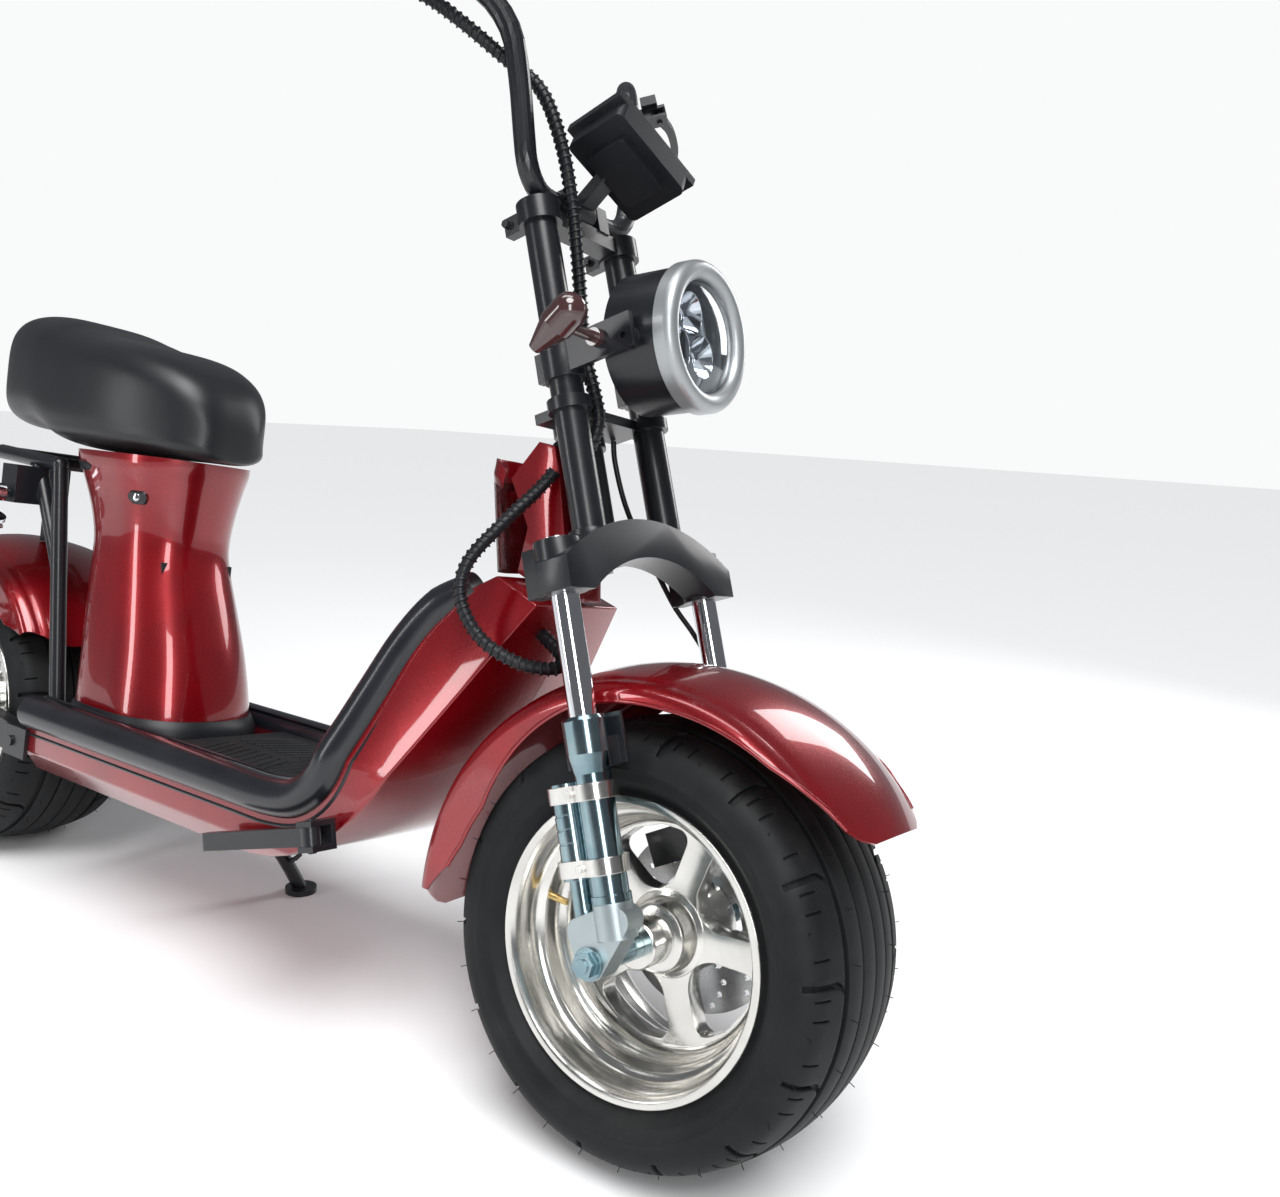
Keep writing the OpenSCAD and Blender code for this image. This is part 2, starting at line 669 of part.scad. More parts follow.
bar_reach = (bar_half - grip_start[1]) / grip_dir[1];
module handlebar() {
    color(BLACK) both_sides()
        swept(concat(smooth(concat(bar_path, [grip_start + grip_dir * 6]), 3), [grip_start + grip_dir * bar_reach]),
            bar_r, 16, [0.9, 0.1, 0.4]);
}
module along_grip(s) {
    a = acos(grip_dir[2]);
    b = atan2(grip_dir[1], grip_dir[0]);
    translate(grip_start + grip_dir * (bar_reach - s)) rotate([0, a, b]) children();
}
module grips() {
    color(BLACK) both_sides() along_grip(grip_len) difference() {
        union() {
            cylinder(r = bar_r + 5, h = grip_len + 4);
            cylinder(r = bar_r + 9, h = 4);
            for (k = [1 : 9]) translate([0, 0, k * grip_len / 10]) cylinder(r = bar_r + 6, h = 5);
        }
        translate([0, 0, -1]) cylinder(r = bar_r + bar_play, h = grip_len + 2);
    }
}
mirror_hole_r = 4;
// Brake lever in the plane of the grip's axis: [along the grip, ahead of it, half width]
lever_line = [[6, 42, 8], [22, 46, 7], [44, 52, 5.5], [80, 53, 5.5], [112, 48, 5], [134, 44, 5], [148, 46, 7]];
module lever_blade() {
    line = smooth(lever_line, 3);
    polygon(concat([for (p = line) [p[0], -p[1] - p[2]]],
        [for (i = [len(line) - 1 : -1 : 0]) [line[i][0], -line[i][1] + line[i][2]]]));
}
module brake_levers() {
    color(BLACK) both_sides() along_grip(grip_len + 30) {
        difference() {
            union() {
                cylinder(r = bar_r + 6, h = 26);
                // arm that carries the lever's pin, and the cylinder's housing over it
                translate([-9, -bar_r - 40, -6]) cube([18, 40, 24]);
                translate([-20, -bar_r - 30, -16]) cube([14, 22, 44]);
                translate([-bar_r - 2, 0, 13]) rotate([0, -90, 0]) cylinder(r = 9, h = 24);
            }
            translate([0, 0, -20]) cylinder(r = bar_r + bar_play, h = 80);
            translate([-bar_r - 60, 0, 13]) rotate([0, 90, 0]) cylinder(r = mirror_hole_r, h = 48, $fn = 32);
            // slot that the lever turns in
            translate([-4.5, -bar_r - 45, -10]) cube([9, 26, 40]);
        }
        rotate([0, -90, 0]) translate([0, 0, -4]) linear_extrude(8) lever_blade();
        translate([-12, -bar_r - 29, 8]) rotate([0, 90, 0]) cylinder(r = 4, h = 24, $fn = 24);
    }
}
// Instrument on its own bracket, turned as the photograph has it
display_at = [110, 12, 882];
display_turn = [-34, 0, -7];
module display() {
    color(BLACK) {
        translate(display_at) rotate(display_turn) {
            translate([-42, -68, -2]) cube([84, 136, 12]);
            translate([0, 0, -24]) linear_extrude(23)
                rounded([[-34, -52], [34, -52], [34, 52], [-34, 52]], 8);
            translate([0, 0, -34]) linear_extrude(11)
                rounded([[-20, -30], [20, -30], [20, 30], [-20, 30]], 8);
        }
        difference() {
            union() {
                translate([leg_x, -16, bar_z]) on_y(0, 32, bar_r + 5);
                translate([leg_x + 8, -12, bar_z + 4]) rotate([0, 64, 0]) translate([-7, 0, 0]) cube([14, 24, 78]);
            }
            translate([leg_x, 0, bar_z]) on_y(-120, 120, bar_r + bar_play);
        }
    }
}

// Wiring in spiral wrap and the front brake hose
wire_upper = [[-2, -214, 1050], [6, -180, 1044], [16, -142, 1028], [32, -106, 1000], [60, -80, 955], [70, -70, 890],
    [64, -58, 820], [50, -46, 750], [40, -40, 700], [35, -40, 657], [40, -40, 605], [41, -42, 570], [28, -46, 545],
    [8, -50, 530]];
module wiring_upper() {
    color(BLACK) swept(smooth(wire_upper, 4), 8, 10);
}

// Body, in the upright frame. Side views list [forwards, up].
floor_rear = -380;
bend_x = front_x - 412;      // where the board's level and rising tops would meet
down_dir = [cos(down_a), sin(down_a)];
down_top = 600;              // height of the down section's end at the neck
bends = 8;
// An arc of radius r that turns from level at height z to the rising slope; corner is where they would meet
function bend_points(corner, z, r) = [for (i = [0 : bends]) let (a = -90 + down_a * i / bends)
    [corner - r * tan(down_a / 2) + r * cos(a), z + r + r * sin(a)]];
belly_corner = bend_x + down_t / sin(down_a) - floor_d / tan(down_a);
outer_bend = bend_points(belly_corner, floor_z - floor_d, belly_r);
outer_top = outer_bend[bends] + down_dir * (down_top - 25 - outer_bend[bends][1]) / sin(down_a);
// The board's top line: level, steeply up, then leaning over towards the neck
rise_line = smooth([[bend_x - 168, floor_z], [bend_x - 100, floor_z + 1], [bend_x - 46, floor_z + 12],
    [bend_x - 6, floor_z + 46], [bend_x + 18, floor_z + 100], [bend_x + 38, floor_z + 160],
    [bend_x + 58, floor_z + 218], [bend_x + 84, floor_z + 262], [bend_x + 120, floor_z + 292],
    [bend_x + 160, down_top]], 3);
// The line moved out by d, square to it
function beside(line, d) = [for (i = [0 : len(line) - 1])
    let (t = unit(line[min(i + 1, len(line) - 1)] - line[max(i - 1, 0)])) line[i] + d * [-t[1], t[0]]];
inner_top = rise_line[len(rise_line) - 1];
module body_side_view() {
    polygon(concat([[floor_rear, floor_z]], rise_line, [outer_top],
        [for (i = [bends : -1 : 0]) outer_bend[i]], [[floor_rear, floor_z - floor_d]]));
}
// Half the body's width at a height
function half_at(z) = z < 360 ? floor_half
    : lerp(floor_half, neck_half + 26, min(1, (z - 360) / (down_top - 360)));
module body_front_view() {
    w = floor_half;
    polygon([[-w + 26, floor_z - floor_d - 5], [-w, floor_z - floor_d + 30], [-w, 360],
        [-half_at(down_top + 20), down_top + 20], [half_at(down_top + 20), down_top + 20], [w, 360],
        [w, floor_z - floor_d + 30], [w - 26, floor_z - floor_d - 5]]);
}
module body_form() {
    intersection() {
        translate([0, 400, 0]) rotate([90, 0, 0]) linear_extrude(800) body_side_view();
        translate([-600, 0, 0]) rotate([90, 0, 90]) linear_extrude(1400) body_front_view();
    }
}
module body_shell() {
    color(RED) upright() body_form();
}
// Path of the black bumper that wraps the left edge
trim_in = 4;            // the bumper's middle above the board's top
trim_line = beside(rise_line, trim_in);
trim_spine = concat([[floor_rear + 4, floor_z + trim_in]],
    [for (i = [0 : 2]) [floor_rear + 120 + i * 150, floor_z + trim_in]], [for (i = [0 : len(trim_line) - 4]) trim_line[i]]);
module edge_trim() {
    color(BLACK) upright() both_sides() difference() {
        swept([for (p = trim_spine) [p[0], half_at(p[1]) - trim_side, p[1]]], trim_r, 16, [0, 1, 0.01]);
        body_form();
    }
}
mat_t = 7;
mat_line = [for (i = [0 : len(rise_line) - 5]) rise_line[i]];
mat_top = beside(mat_line, mat_t);
trim_side = 7;          // the bumper's middle inside the body's side
function mat_at(z) = half_at(z) - trim_side - trim_r - 2.6;
mat_half = mat_at(floor_z);
box_front = -128;        // front of the seat box's foot
module floor_mat() {
    color(BLACK) upright() difference() {
        intersection() {
            translate([0, mat_half, 0]) rotate([90, 0, 0]) linear_extrude(2 * mat_half)
                polygon(concat([[box_front + 11, floor_z + mat_t]], mat_top,
                    [for (i = [len(mat_line) - 1 : -1 : 0]) mat_line[i]], [[box_front + 11, floor_z]]));
            translate([-600, 0, 0]) rotate([90, 0, 90]) linear_extrude(1400)
                polygon([[-mat_half, 200], [-mat_half, 360], [-mat_at(down_top), down_top],
                    [mat_at(down_top), down_top], [mat_half, 360], [mat_half, 200]]);
        }
        for (i = [0 : 8]) translate([60 + i * 16, -mat_half + 12, floor_z + mat_t - 1.5])
            cube([5, 2 * mat_half - 24, 5]);
    }
}

// Head tube and neck
module head_tube() {
    color(BLACK) steer() translate([stem_x, 0, head_z]) difference() {
        union() {
            cylinder(r = head_r, h = head_len);
            cylinder(r = head_r + 4, h = 14);
            translate([0, 0, head_len - 14]) cylinder(r = head_r + 4, h = 14);
        }
        translate([0, 0, -1]) cylinder(r = stem_r + run, h = head_len + 2);
    }
}
function in_body(x, z) = [front_x + x * cos(rake) - z * sin(rake), tyre_r + x * sin(rake) + z * cos(rake)];
neck_low = in_body(stem_x - 4, head_z + 8);
neck_high = in_body(stem_x - 4, head_top - 10);
module neck() {
    color(RED) difference() {
        upright() translate([0, neck_half, 0]) rotate([90, 0, 0]) linear_extrude(2 * neck_half)
            polygon([neck_high, neck_high + [-26, 4], neck_high + [-62, -42], inner_top + [10, 60],
                inner_top + [3, 5], outer_top + [1, 5], outer_top + [-4, 40], neck_low + [-4, -16]]);
        steer() translate([stem_x, 0, head_z - 60]) cylinder(r = head_r + seat_gap, h = head_len + 120);
        steer() for (z = [head_z - 60, head_top - 14 - seat_gap]) translate([stem_x, 0, z])
            cylinder(r = head_r + 4 + seat_gap, h = 74 + seat_gap);
        steer() translate([stem_x - 6, -neck_half - 1, head_z - 60]) cube([80, 2 * neck_half + 2, head_len + 120]);
        cover_place() difference() {
            translate([-100, -60, -40]) cube([94, 120, 240]);
            translate([0, 0, -60]) cylinder(r = cover_r - 3 - seat_gap, h = 300);
        }
    }
}
// Rounded half-open cover behind the neck, its mouth at the top
cover_r = 44;
module cover_place() {
    upright() translate([inner_top[0] - 6, 0, inner_top[1] + 12]) rotate([0, -12, 0]) children();
}
module neck_cover() {
    color(RED) cover_place() difference() {
        cylinder(r = cover_r, h = 138);
        translate([0, 0, -1]) cylinder(r = cover_r - 3, h = 160);
        translate([-6, -60, -1]) cube([120, 120, 200]);
        translate([-60, 0, 138]) rotate([90, 0, 0]) translate([22, 14, -80]) cylinder(r = 46, h = 160);
    }
}

// Seat box: flares out to its foot and to its rim from a waist
box_levels = [  // height, front, rear, half width
    [floor_z + 0.3, box_front, -366, 110],
    [566, box_front - 78, -396, 84],
    [seat_z - 0.8, box_front - 57, -440, 104]];
module box_slab(level, grow, h = 0.5) {
    r = 46;
    translate([0, 0, level[0]]) linear_extrude(h) translate([(level[1] + level[2]) / 2, 0])
        rounded([[(level[2] - level[1]) / 2 + r, -level[3] + r], [(level[1] - level[2]) / 2 - r, -level[3] + r],
            [(level[1] - level[2]) / 2 - r, level[3] - r], [(level[2] - level[1]) / 2 + r, level[3] - r]], r - grow);
}
module box_form(grow, lift) {
    for (i = [0 : 1]) hull() {
        translate([0, 0, i == 0 ? lift : 0]) box_slab(box_levels[i], grow);
        translate([0, 0, i == 1 && lift > 0 ? 2 : 0]) box_slab(box_levels[i + 1], grow);
    }
}
module seat_box() {
    color(RED) upright() difference() {
        box_form(0, 0);
        box_form(box_wall, box_wall);
        // recess under the seat's right edge
        translate([-300, -130, seat_z - 22]) cube([80, 30, 12]);
    }
}
module seat_box_skirt() {
    color(BLACK) upright() difference() {
        hull() {
            box_slab([floor_z + seat_gap, box_front + 10, -374, 115], 0);
            box_slab([floor_z + 28, box_front + 5, -372, 112], 0);
        }
        hull() {
            box_slab(box_levels[0], -seat_gap);
            box_slab(box_levels[1], -seat_gap);
        }
    }
}
module battery() {
    color(BLACK) upright() {
        translate([-354, -60, floor_z + box_wall + 1]) cube([138, 120, 250]);
        translate([-320, -10, floor_z + box_wall + 251]) cube([60, 20, 12]);
    }
}

// Seat: sections from the nose to the tail as [forwards, underside, top, half width]
seat_sections = [[-152, 702, 730, 34], [-157, 698, 752, 66], [-172, seat_z, 782, 90], [-204, seat_z, 808, 110],
    [-256, seat_z + 2, 832, 126], [-320, seat_z, 850, 131], [-390, seat_z, 866, 130], [-450, seat_z + 2, 884, 132],
    [-500, seat_z + 22, 900, 134], [-590, seat_z + 24, 908, 122], [-640, seat_z + 34, 896, 96], [-660, seat_z + 52, 868, 56]];
function seat_ring(s) = [for (j = [0 : 19]) let (a = 360 * j / 20, c = cos(a), q = sin(a),
    w = s[3] * seat_half / 132, mid = (s[1] + s[2]) / 2, half = (s[2] - s[1]) / 2)
    [s[0], w * sign(c) * pow(abs(c), 0.62), mid + half * sign(q) * pow(abs(q), q > 0 ? 0.72 : 0.4)]];
module seat() {
    color(BLACK) upright() skin([for (s = seat_sections) seat_ring(s)]);
}

// Rear frame that carries the seat's tail, the shocks and the fender
rail_y = 96;
shock_y = 162;
shock_top = [-520, 610];
shock_foot = [rear_x + 64, tyre_r + 57.5];
module rod(a, b, r, n = 16) {
    d = b - a;
    translate(a) rotate([0, acos(d[2] / norm(d)), atan2(d[1], d[0])]) cylinder(r = r, h = norm(d));
}
tail_foot = [floor_rear - 12 - seat_gap, 258];
tail_bend = [-460, 664];
plate_t = 6;
module rear_frame() {
    color(BLACK) upright() {
        both_sides() {
            rod([tail_foot[0], rail_y, tail_foot[1]], [tail_bend[0], rail_y, tail_bend[1]], 12);
            translate([floor_rear - seat_gap - plate_t, rail_y - 20, tail_foot[1]]) cube([plate_t, 40, 25]);
            rod([tail_bend[0], rail_y, tail_bend[1]], [-640, rail_y, 674], 12);
            translate([tail_bend[0], rail_y, tail_bend[1]]) sphere(r = 12.8, $fn = 32);
            rod([-434, rail_y, 500], [shock_top[0], rail_y, shock_top[1] + 50], 11);
            translate([shock_top[0] - 22, rail_y - 4, shock_top[1] - 14]) cube([44, shock_y - rail_y - 16, 60]);
            rod([shock_top[0], shock_y - 22, shock_top[1]], [shock_top[0], shock_y + 24, shock_top[1]], 7);
        }
        rod([-636, -rail_y, 674], [-636, rail_y, 674], 10);
        rod([-500, -rail_y, 666], [-500, rail_y, 666], 10);
        // hanger that carries the fender
        translate([-642, -18, tyre_r + fender_r - 5]) cube([12, 36, 674 - tyre_r - fender_r + 5]);
    }
}
pivot = [-410, 236];
module pivot_plates() {
    both_sides() translate([pivot[0] - 20, floor_half + seat_gap, pivot[1] - 22]) cube([60, plate_t, 46]);
    translate([pivot[0], 0, pivot[1]]) on_y(-floor_half - plate_t - 4, floor_half + plate_t + 4, 8);
}
module swingarm() {
    color(BLACK) upright() difference() {
        union() {
            both_sides() translate([0, arm_y + arm_half, 0]) rotate([90, 0, 0]) linear_extrude(2 * arm_half)
                rounded([[rear_x - 14, tyre_r - 6], [pivot[0], pivot[1] - 4], [pivot[0], pivot[1] + 4],
                    [rear_x + 90, tyre_r + 22], [rear_x - 14, tyre_r + 6]], 16);
            translate([pivot[0], 0, pivot[1]]) on_y(-arm_y, arm_y, 18);
        }
        translate([rear_x, 0, tyre_r]) on_y(-300, 300, axle_r + run);
        translate([pivot[0], 0, pivot[1]]) on_y(-300, 300, 8 + run);
    }
}
module shock_frame() {
    d = shock_top - shock_foot;
    translate([shock_foot[0], shock_y, shock_foot[1]]) rotate([0, atan2(d[0], d[1]), 0]) children();
}
shock_len = norm(shock_top - shock_foot);
module shocks() {
    color(CHROME) upright() both_sides() difference() {
        union() {
            shock_frame() {
                cylinder(r = 9, h = shock_len);
                translate([0, 0, 22]) cylinder(r = 18, h = 90);
                translate([0, 0, 22]) cylinder(r = 26, h = 6);
                translate([0, 0, shock_len - 44]) cylinder(r = 26, h = 6);
                rotate([90, 0, 0]) cylinder(r = 14, h = 26, center = true);
                translate([0, 0, shock_len]) rotate([90, 0, 0]) cylinder(r = 14, h = 26, center = true);
            }
            translate([shock_foot[0], arm_y + arm_half, shock_foot[1]]) on_y(0, 40, 6);
        }
        translate([shock_top[0], 0, shock_top[1]]) on_y(100, 200, 7 + run);
    }
}
coil_turns = 7;
coil_steps = 14;
coil_r = 3.4;
coil_low = 28.3;
coil_pitch = (shock_len - 44 - seat_gap - coil_low - 2 * coil_r) / coil_turns;
module shock_springs() {
    color(RED) upright() both_sides() shock_frame()
        swept([for (i = [0 : coil_turns * coil_steps]) let (a = 360 * i / coil_steps)
            [22.4 * cos(a), 22.4 * sin(a), coil_low + coil_r + i * coil_pitch / coil_steps]], coil_r, 8, [0, 0, 1]);
}
module tail_light() {
    color([0.6, 0.05, 0.05]) rear_hub() rotate([0, -152, 0]) translate([fender_r + seat_gap, -42, -22]) cube([22, 84, 44]);
}
plate_hole_r = 3.25;
module plate_holder() {
    color(BLACK) rear_hub() rotate([0, -166, 0]) translate([fender_r + seat_gap, 0, 0]) {
        translate([0, -12, -20]) cube([36, 24, 8]);
        difference() {
            translate([30, -90, -60]) cube([4, 180, 110]);
            for (s = [-1, 1]) translate([20, s * 60, -35]) rotate([0, 90, 0]) cylinder(r = plate_hole_r, h = 30);
        }
    }
}

// Side stand on the left, foot flat on the floor
stand_pivot = [front_x - 838, 92, floor_z - floor_d - 18];
stand_out = 92;
stand_fwd = 26;
// height of the leaning floor, in the upright frame, at a distance to the left
function floor_at(y) = crown_r + (y * sin(lean) - crown_r) / cos(lean);
stand_foot = [stand_pivot[0] + stand_fwd, stand_pivot[1] + stand_out, floor_at(stand_pivot[1] + stand_out)];
stand_leg = [stand_pivot, stand_pivot + [4, 3, -30], lerp(stand_pivot, stand_foot, 0.6) + [2, -2, 0],
    stand_foot + [-1, -2, 7.4]];
// Curled tang that the rider's foot pushes, its ends inside the leg
stand_tang = [lerp(stand_pivot, stand_foot, 0.36), lerp(stand_pivot, stand_foot, 0.32) + [34, 4, 5],
    lerp(stand_pivot, stand_foot, 0.36) + [54, 4, 2], lerp(stand_pivot, stand_foot, 0.52) + [46, 4, 0],
    lerp(stand_pivot, stand_foot, 0.68)];
module side_stand() {
    color(BLACK) upright() difference() {
        union() {
            swept(smooth(stand_leg, 3), 11, 12, [0.3, 1, 0.1]);
            swept(smooth(stand_tang, 3), 4, 8);
            translate(stand_pivot) on_y(-15, 15, 15);
            translate(stand_foot) rotate([lean, 0, 0]) cylinder(r = 25, h = 9);
        }
        translate(stand_pivot) on_y(-40, 40, 6 + run);
    }
}
module stand_bracket() {
    color(BLACK) upright() translate([stand_pivot[0], 0, 0]) {
        for (y = [stand_pivot[1] - 26, stand_pivot[1] + 20.3]) translate([-22, y, stand_pivot[2] - 11]) cube([44, 6, floor_z - floor_d - stand_pivot[2] + 11 - seat_gap]);
        translate([-22, stand_pivot[1] - 26, floor_z - floor_d - 3]) cube([44, 52, 3 - seat_gap]);
        translate([0, 0, stand_pivot[2]]) on_y(stand_pivot[1] - 30, stand_pivot[1] + 30, 6);
    }
}

// Folding footrests, stowed back along the sides
rest_at = [front_x - 396, 0, 274];
rest_y = floor_half + 26;
rest_len = 190;
rest_tilt = 16;
module rest_place() {
    translate([rest_at[0], rest_y, rest_at[2] - 4]) rotate([0, -rest_tilt, 0]) children();
}
module footrest() {
    color(BLACK) rest_place() difference() {
        union() {
            translate([-rest_len, -8, -11]) cube([rest_len, 18, 22]);
            translate([0, 0, -11]) cylinder(r = 12, h = 22);
            translate([-rest_len, 1, -11]) cylinder(r = 9, h = 22);
        }
        translate([0, 0, -30]) cylinder(r = 5 + run, h = 60);
    }
}
module footrest_brackets() {
    color(BLACK) upright() both_sides() rest_place() {
        for (z = [-18, 11.3]) translate([-13, -rest_y + floor_half + seat_gap, z]) cube([26, 36, 6.7]);
        translate([-13, -rest_y + floor_half + seat_gap, -18]) cube([26, 6, 36]);
        translate([0, 0, -20]) cylinder(r = 5, h = 40);
    }
}

// Wiring from the fork's back into the neck, on the body's right
wire_lower = [[-206, -47.9, 728], [-218, -58, 704], [-238, -92, 658], [-254, -122, 612], [-250, -130, 570],
    [-222, -120, 530], [-184, -94, 508], [-158, -62, 506], [-164, -44, 518], [-202, -40, 539.6]];
module wiring_lower() {
    color(BLACK) upright() translate([front_x, 0, 0]) swept(smooth(wire_lower, 4), 8, 10);
}
hose_path = [[-10, 60, 577], [-14, 62, 550], [-16, 72, 500], [-18, 98, 450], [-18, 126, 410], [-16, 148, 372],
    [-6, 166, 335], [4, 171, 300], [6, 171, 240], [4, 170, 190], [-4, 166, 155], [-24, 156, 128], [-40, 134, 108],
    [-35, 112, 96], [-28, 99, 89], [-25, 87, 85]];
module brake_hose() {
    color(BLACK) steer() swept(smooth(hose_path, 4), 3.2, 8);
}

// Drawing

front_hub() tyre();  // front_tyre
front_hub() front_rim();
front_hub() brake_disc(disc_y);  // front_brake_disc
front_hub() front_axle();
front_hub() front_caliper();
rear_hub() tyre();  // rear_tyre
rear_hub() rear_rim();
rear_hub() hub_motor();
rear_hub() brake_disc(rear_disc_y);  // rear_brake_disc
rear_hub() rear_axle();
rear_hub() rear_caliper();
steer() fork_dropouts();
steer() fork_lower_legs();
steer() fork_bands();
steer() fork_dampers();
steer() fork_stanchions();
steer() lower_yoke();
steer() upper_tubes();
steer() mid_plate();
steer() top_yoke();
steer() steering_stem();
steer() front_fender();
steer() fender_stays();
steer() headlight_bucket();
steer() headlight_ring();
steer() headlight_lens();
steer() headlight_lamps();
steer() front_indicators();
steer() handlebar();
steer() grips();
steer() brake_levers();
steer() display();
steer() wiring_upper();
wiring_lower();
brake_hose();
head_tube();
neck();
neck_cover();
body_shell();
edge_trim();
floor_mat();
seat_box();
seat_box_skirt();
battery();
seat();
rear_frame();
color(BLACK) upright() pivot_plates();
swingarm();
shocks();
shock_springs();
rear_fender();
tail_light();
plate_holder();
side_stand();
stand_bracket();
upright() mirror([0, 1, 0]) footrest();  // footrest_right
upright() footrest();  // footrest_left
footrest_brackets();
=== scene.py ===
import json
import math
import bpy
import bmesh
from mathutils import Matrix, Vector, noise


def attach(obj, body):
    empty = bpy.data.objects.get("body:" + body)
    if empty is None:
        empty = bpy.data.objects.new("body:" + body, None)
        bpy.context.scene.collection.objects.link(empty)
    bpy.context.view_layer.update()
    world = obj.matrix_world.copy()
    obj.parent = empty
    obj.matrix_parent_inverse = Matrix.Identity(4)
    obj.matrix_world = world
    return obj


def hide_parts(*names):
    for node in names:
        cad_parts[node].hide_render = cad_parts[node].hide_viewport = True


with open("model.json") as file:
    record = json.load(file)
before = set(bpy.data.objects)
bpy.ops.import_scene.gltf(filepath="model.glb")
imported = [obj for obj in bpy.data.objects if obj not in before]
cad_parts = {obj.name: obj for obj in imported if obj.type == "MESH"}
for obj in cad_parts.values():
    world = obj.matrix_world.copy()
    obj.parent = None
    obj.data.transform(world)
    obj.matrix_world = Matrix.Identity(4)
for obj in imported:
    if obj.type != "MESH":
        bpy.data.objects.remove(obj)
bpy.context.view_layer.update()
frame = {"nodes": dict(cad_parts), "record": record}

nodes = frame["nodes"]
slotOf = {part["node"]: part["material_slot"] for part in frame["record"]["subparts"]}

stance = {
    "originShift": (0.043, -0.112, 0.3),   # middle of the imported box, and the height that the lean turns about
    "leanDegrees": 7.0,
    "rakeDegrees": 20.0,
    "frontAxle": (0.7, 0.0, 0.2385),
    "rearAxle": (-0.7, 0.0, 0.2385),
}


def moved(x, y, z):
    return Matrix.Translation((x, y, z))


def turned(degrees, axis):
    return Matrix.Rotation(math.radians(degrees), 4, axis)


upright = moved(*stance["originShift"]) @ turned(-stance["leanDegrees"], "X") @ moved(0, 0, -0.3)
steer = upright @ moved(*stance["frontAxle"]) @ turned(-stance["rakeDegrees"], "Y")
rearHub = upright @ moved(*stance["rearAxle"])

# Shapes


def mix(a, b, t):
    return a + (b - a) * t


def step(low, high, x):
    t = max(0.0, min(1.0, (x - low) / (high - low)))
    return t * t * (3 - 2 * t)


def reading(table, x):
    # value at x between the rows of a table of (x, value)
    if x <= table[0][0]:
        return table[0][1]
    for (x0, v0), (x1, v1) in zip(table, table[1:]):
        if x <= x1:
            return mix(v0, v1, (x - x0) / (x1 - x0))
    return table[-1][1]


def finishPiece(name, bm, material, body, place=None, stands=(), smoothAngle=32, closed=True):
    # writes the bmesh into the shared frame, gives it its material and body, and hides the CAD nodes that it stands for
    if place is not None:
        bmesh.ops.transform(bm, matrix=place, verts=bm.verts)
    if closed:
        bmesh.ops.recalc_face_normals(bm, faces=bm.faces)
    mesh = bpy.data.meshes.new(name)
    bm.to_mesh(mesh)
    bm.free()
    piece = bpy.data.objects.new(name, mesh)
    bpy.context.scene.collection.objects.link(piece)
    mesh.materials.append(material)
    mesh.shade_smooth()
    mesh.set_sharp_from_angle(angle=math.radians(smoothAngle))
    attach(piece, body)
    if stands:
        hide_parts(*stands)
    return piece


def addModifier(piece, kind, **values):
    modifier = piece.modifiers.new(kind.title(), kind)
    for key, value in values.items():
        setattr(modifier, key, value)
    return modifier


def lathe(bm, profile, steps, axis=(0, 1, 0), closeProfile=False):
    # turns a line of (radius, distance along the axis) right round
    turn = Vector(axis)
    side = Vector((1, 0, 0)) if abs(turn.x) < 0.5 else Vector((0, 0, 1))
    ring = [bm.verts.new(side * radius + turn * along) for radius, along in profile]
    edges = [bm.edges.new(pair) for pair in zip(ring, ring[1:])]
    if closeProfile:
        edges.append(bm.edges.new((ring[-1], ring[0])))
    bmesh.ops.spin(bm, geom=ring + edges, cent=(0, 0, 0), axis=turn, angle=math.tau, steps=steps, use_merge=True)
    bmesh.ops.remove_doubles(bm, verts=bm.verts, dist=1e-6)
    return bm


def smoothLine(points, steps):
    # a smooth curve through the points, with the given steps to a span
    points = [Vector(p) for p in points]
    line = []
    for i in range(len(points) - 1):
        a, b, c, d = points[max(i - 1, 0)], points[i], points[i + 1], points[min(i + 2, len(points) - 1)]
        for k in range(steps):
            t = k / steps
            line.append(0.5 * (2 * b + (c - a) * t + (2 * a - 5 * b + 4 * c - d) * t * t
                               + (3 * b - a - 3 * c + d) * t ** 3))
    line.append(points[-1])
    return line


def framesAlong(line, side=(0.05, 1, 0.08)):
    # one matrix to each point, its Z along the line, without twist
    frames = []
    across = Vector(side)
    for i, point in enumerate(line):
        along = (line[min(i + 1, len(line) - 1)] - line[max(i - 1, 0)]).normalized()
        across = (across - along * across.dot(along)).normalized()
        other = along.cross(across)
        frames.append(Matrix(((across.x, other.x, along.x, point.x), (across.y, other.y, along.y, point.y),
                              (across.z, other.z, along.z, point.z), (0, 0, 0, 1))))
    return frames


def sweep(bm, line, radius, segments=16, side=(0.05, 1, 0.08), radii=None, flat=1.0):
    # a round tube along a line, closed at both ends
    frames = framesAlong(line, side)
    start = bmesh.ops.create_circle(bm, cap_ends=True, segments=segments, radius=1.0)["verts"]
    ring = list(start)
    edges = list({e for v in ring for e in v.link_edges})
    place = None
    for i, frameHere in enumerate(frames):
        size = radii[i] if radii else radius
        now = frameHere @ Matrix.Diagonal((size * flat, size, 1, 1))
        if place is None:
            bmesh.ops.transform(bm, matrix=now, verts=ring)
        else:
            grown = bmesh.ops.extrude_edge_only(bm, edges=edges)["geom"]
            ring = [g for g in grown if isinstance(g, bmesh.types.BMVert)]
            edges = [g for g in grown if isinstance(g, bmesh.types.BMEdge)
                     and all(v in ring for v in g.verts)]
            bmesh.ops.transform(bm, matrix=now @ place.inverted(), verts=ring)
        place = now
    bmesh.ops.contextual_create(bm, geom=edges)
    return bm


def rounded(bm, edges, size, segments=3):
    bmesh.ops.bevel(bm, geom=edges, offset=size, offset_type="OFFSET", affect="EDGES", segments=segments,
                    profile=0.5, material=-1, clamp_overlap=True)
    return bm


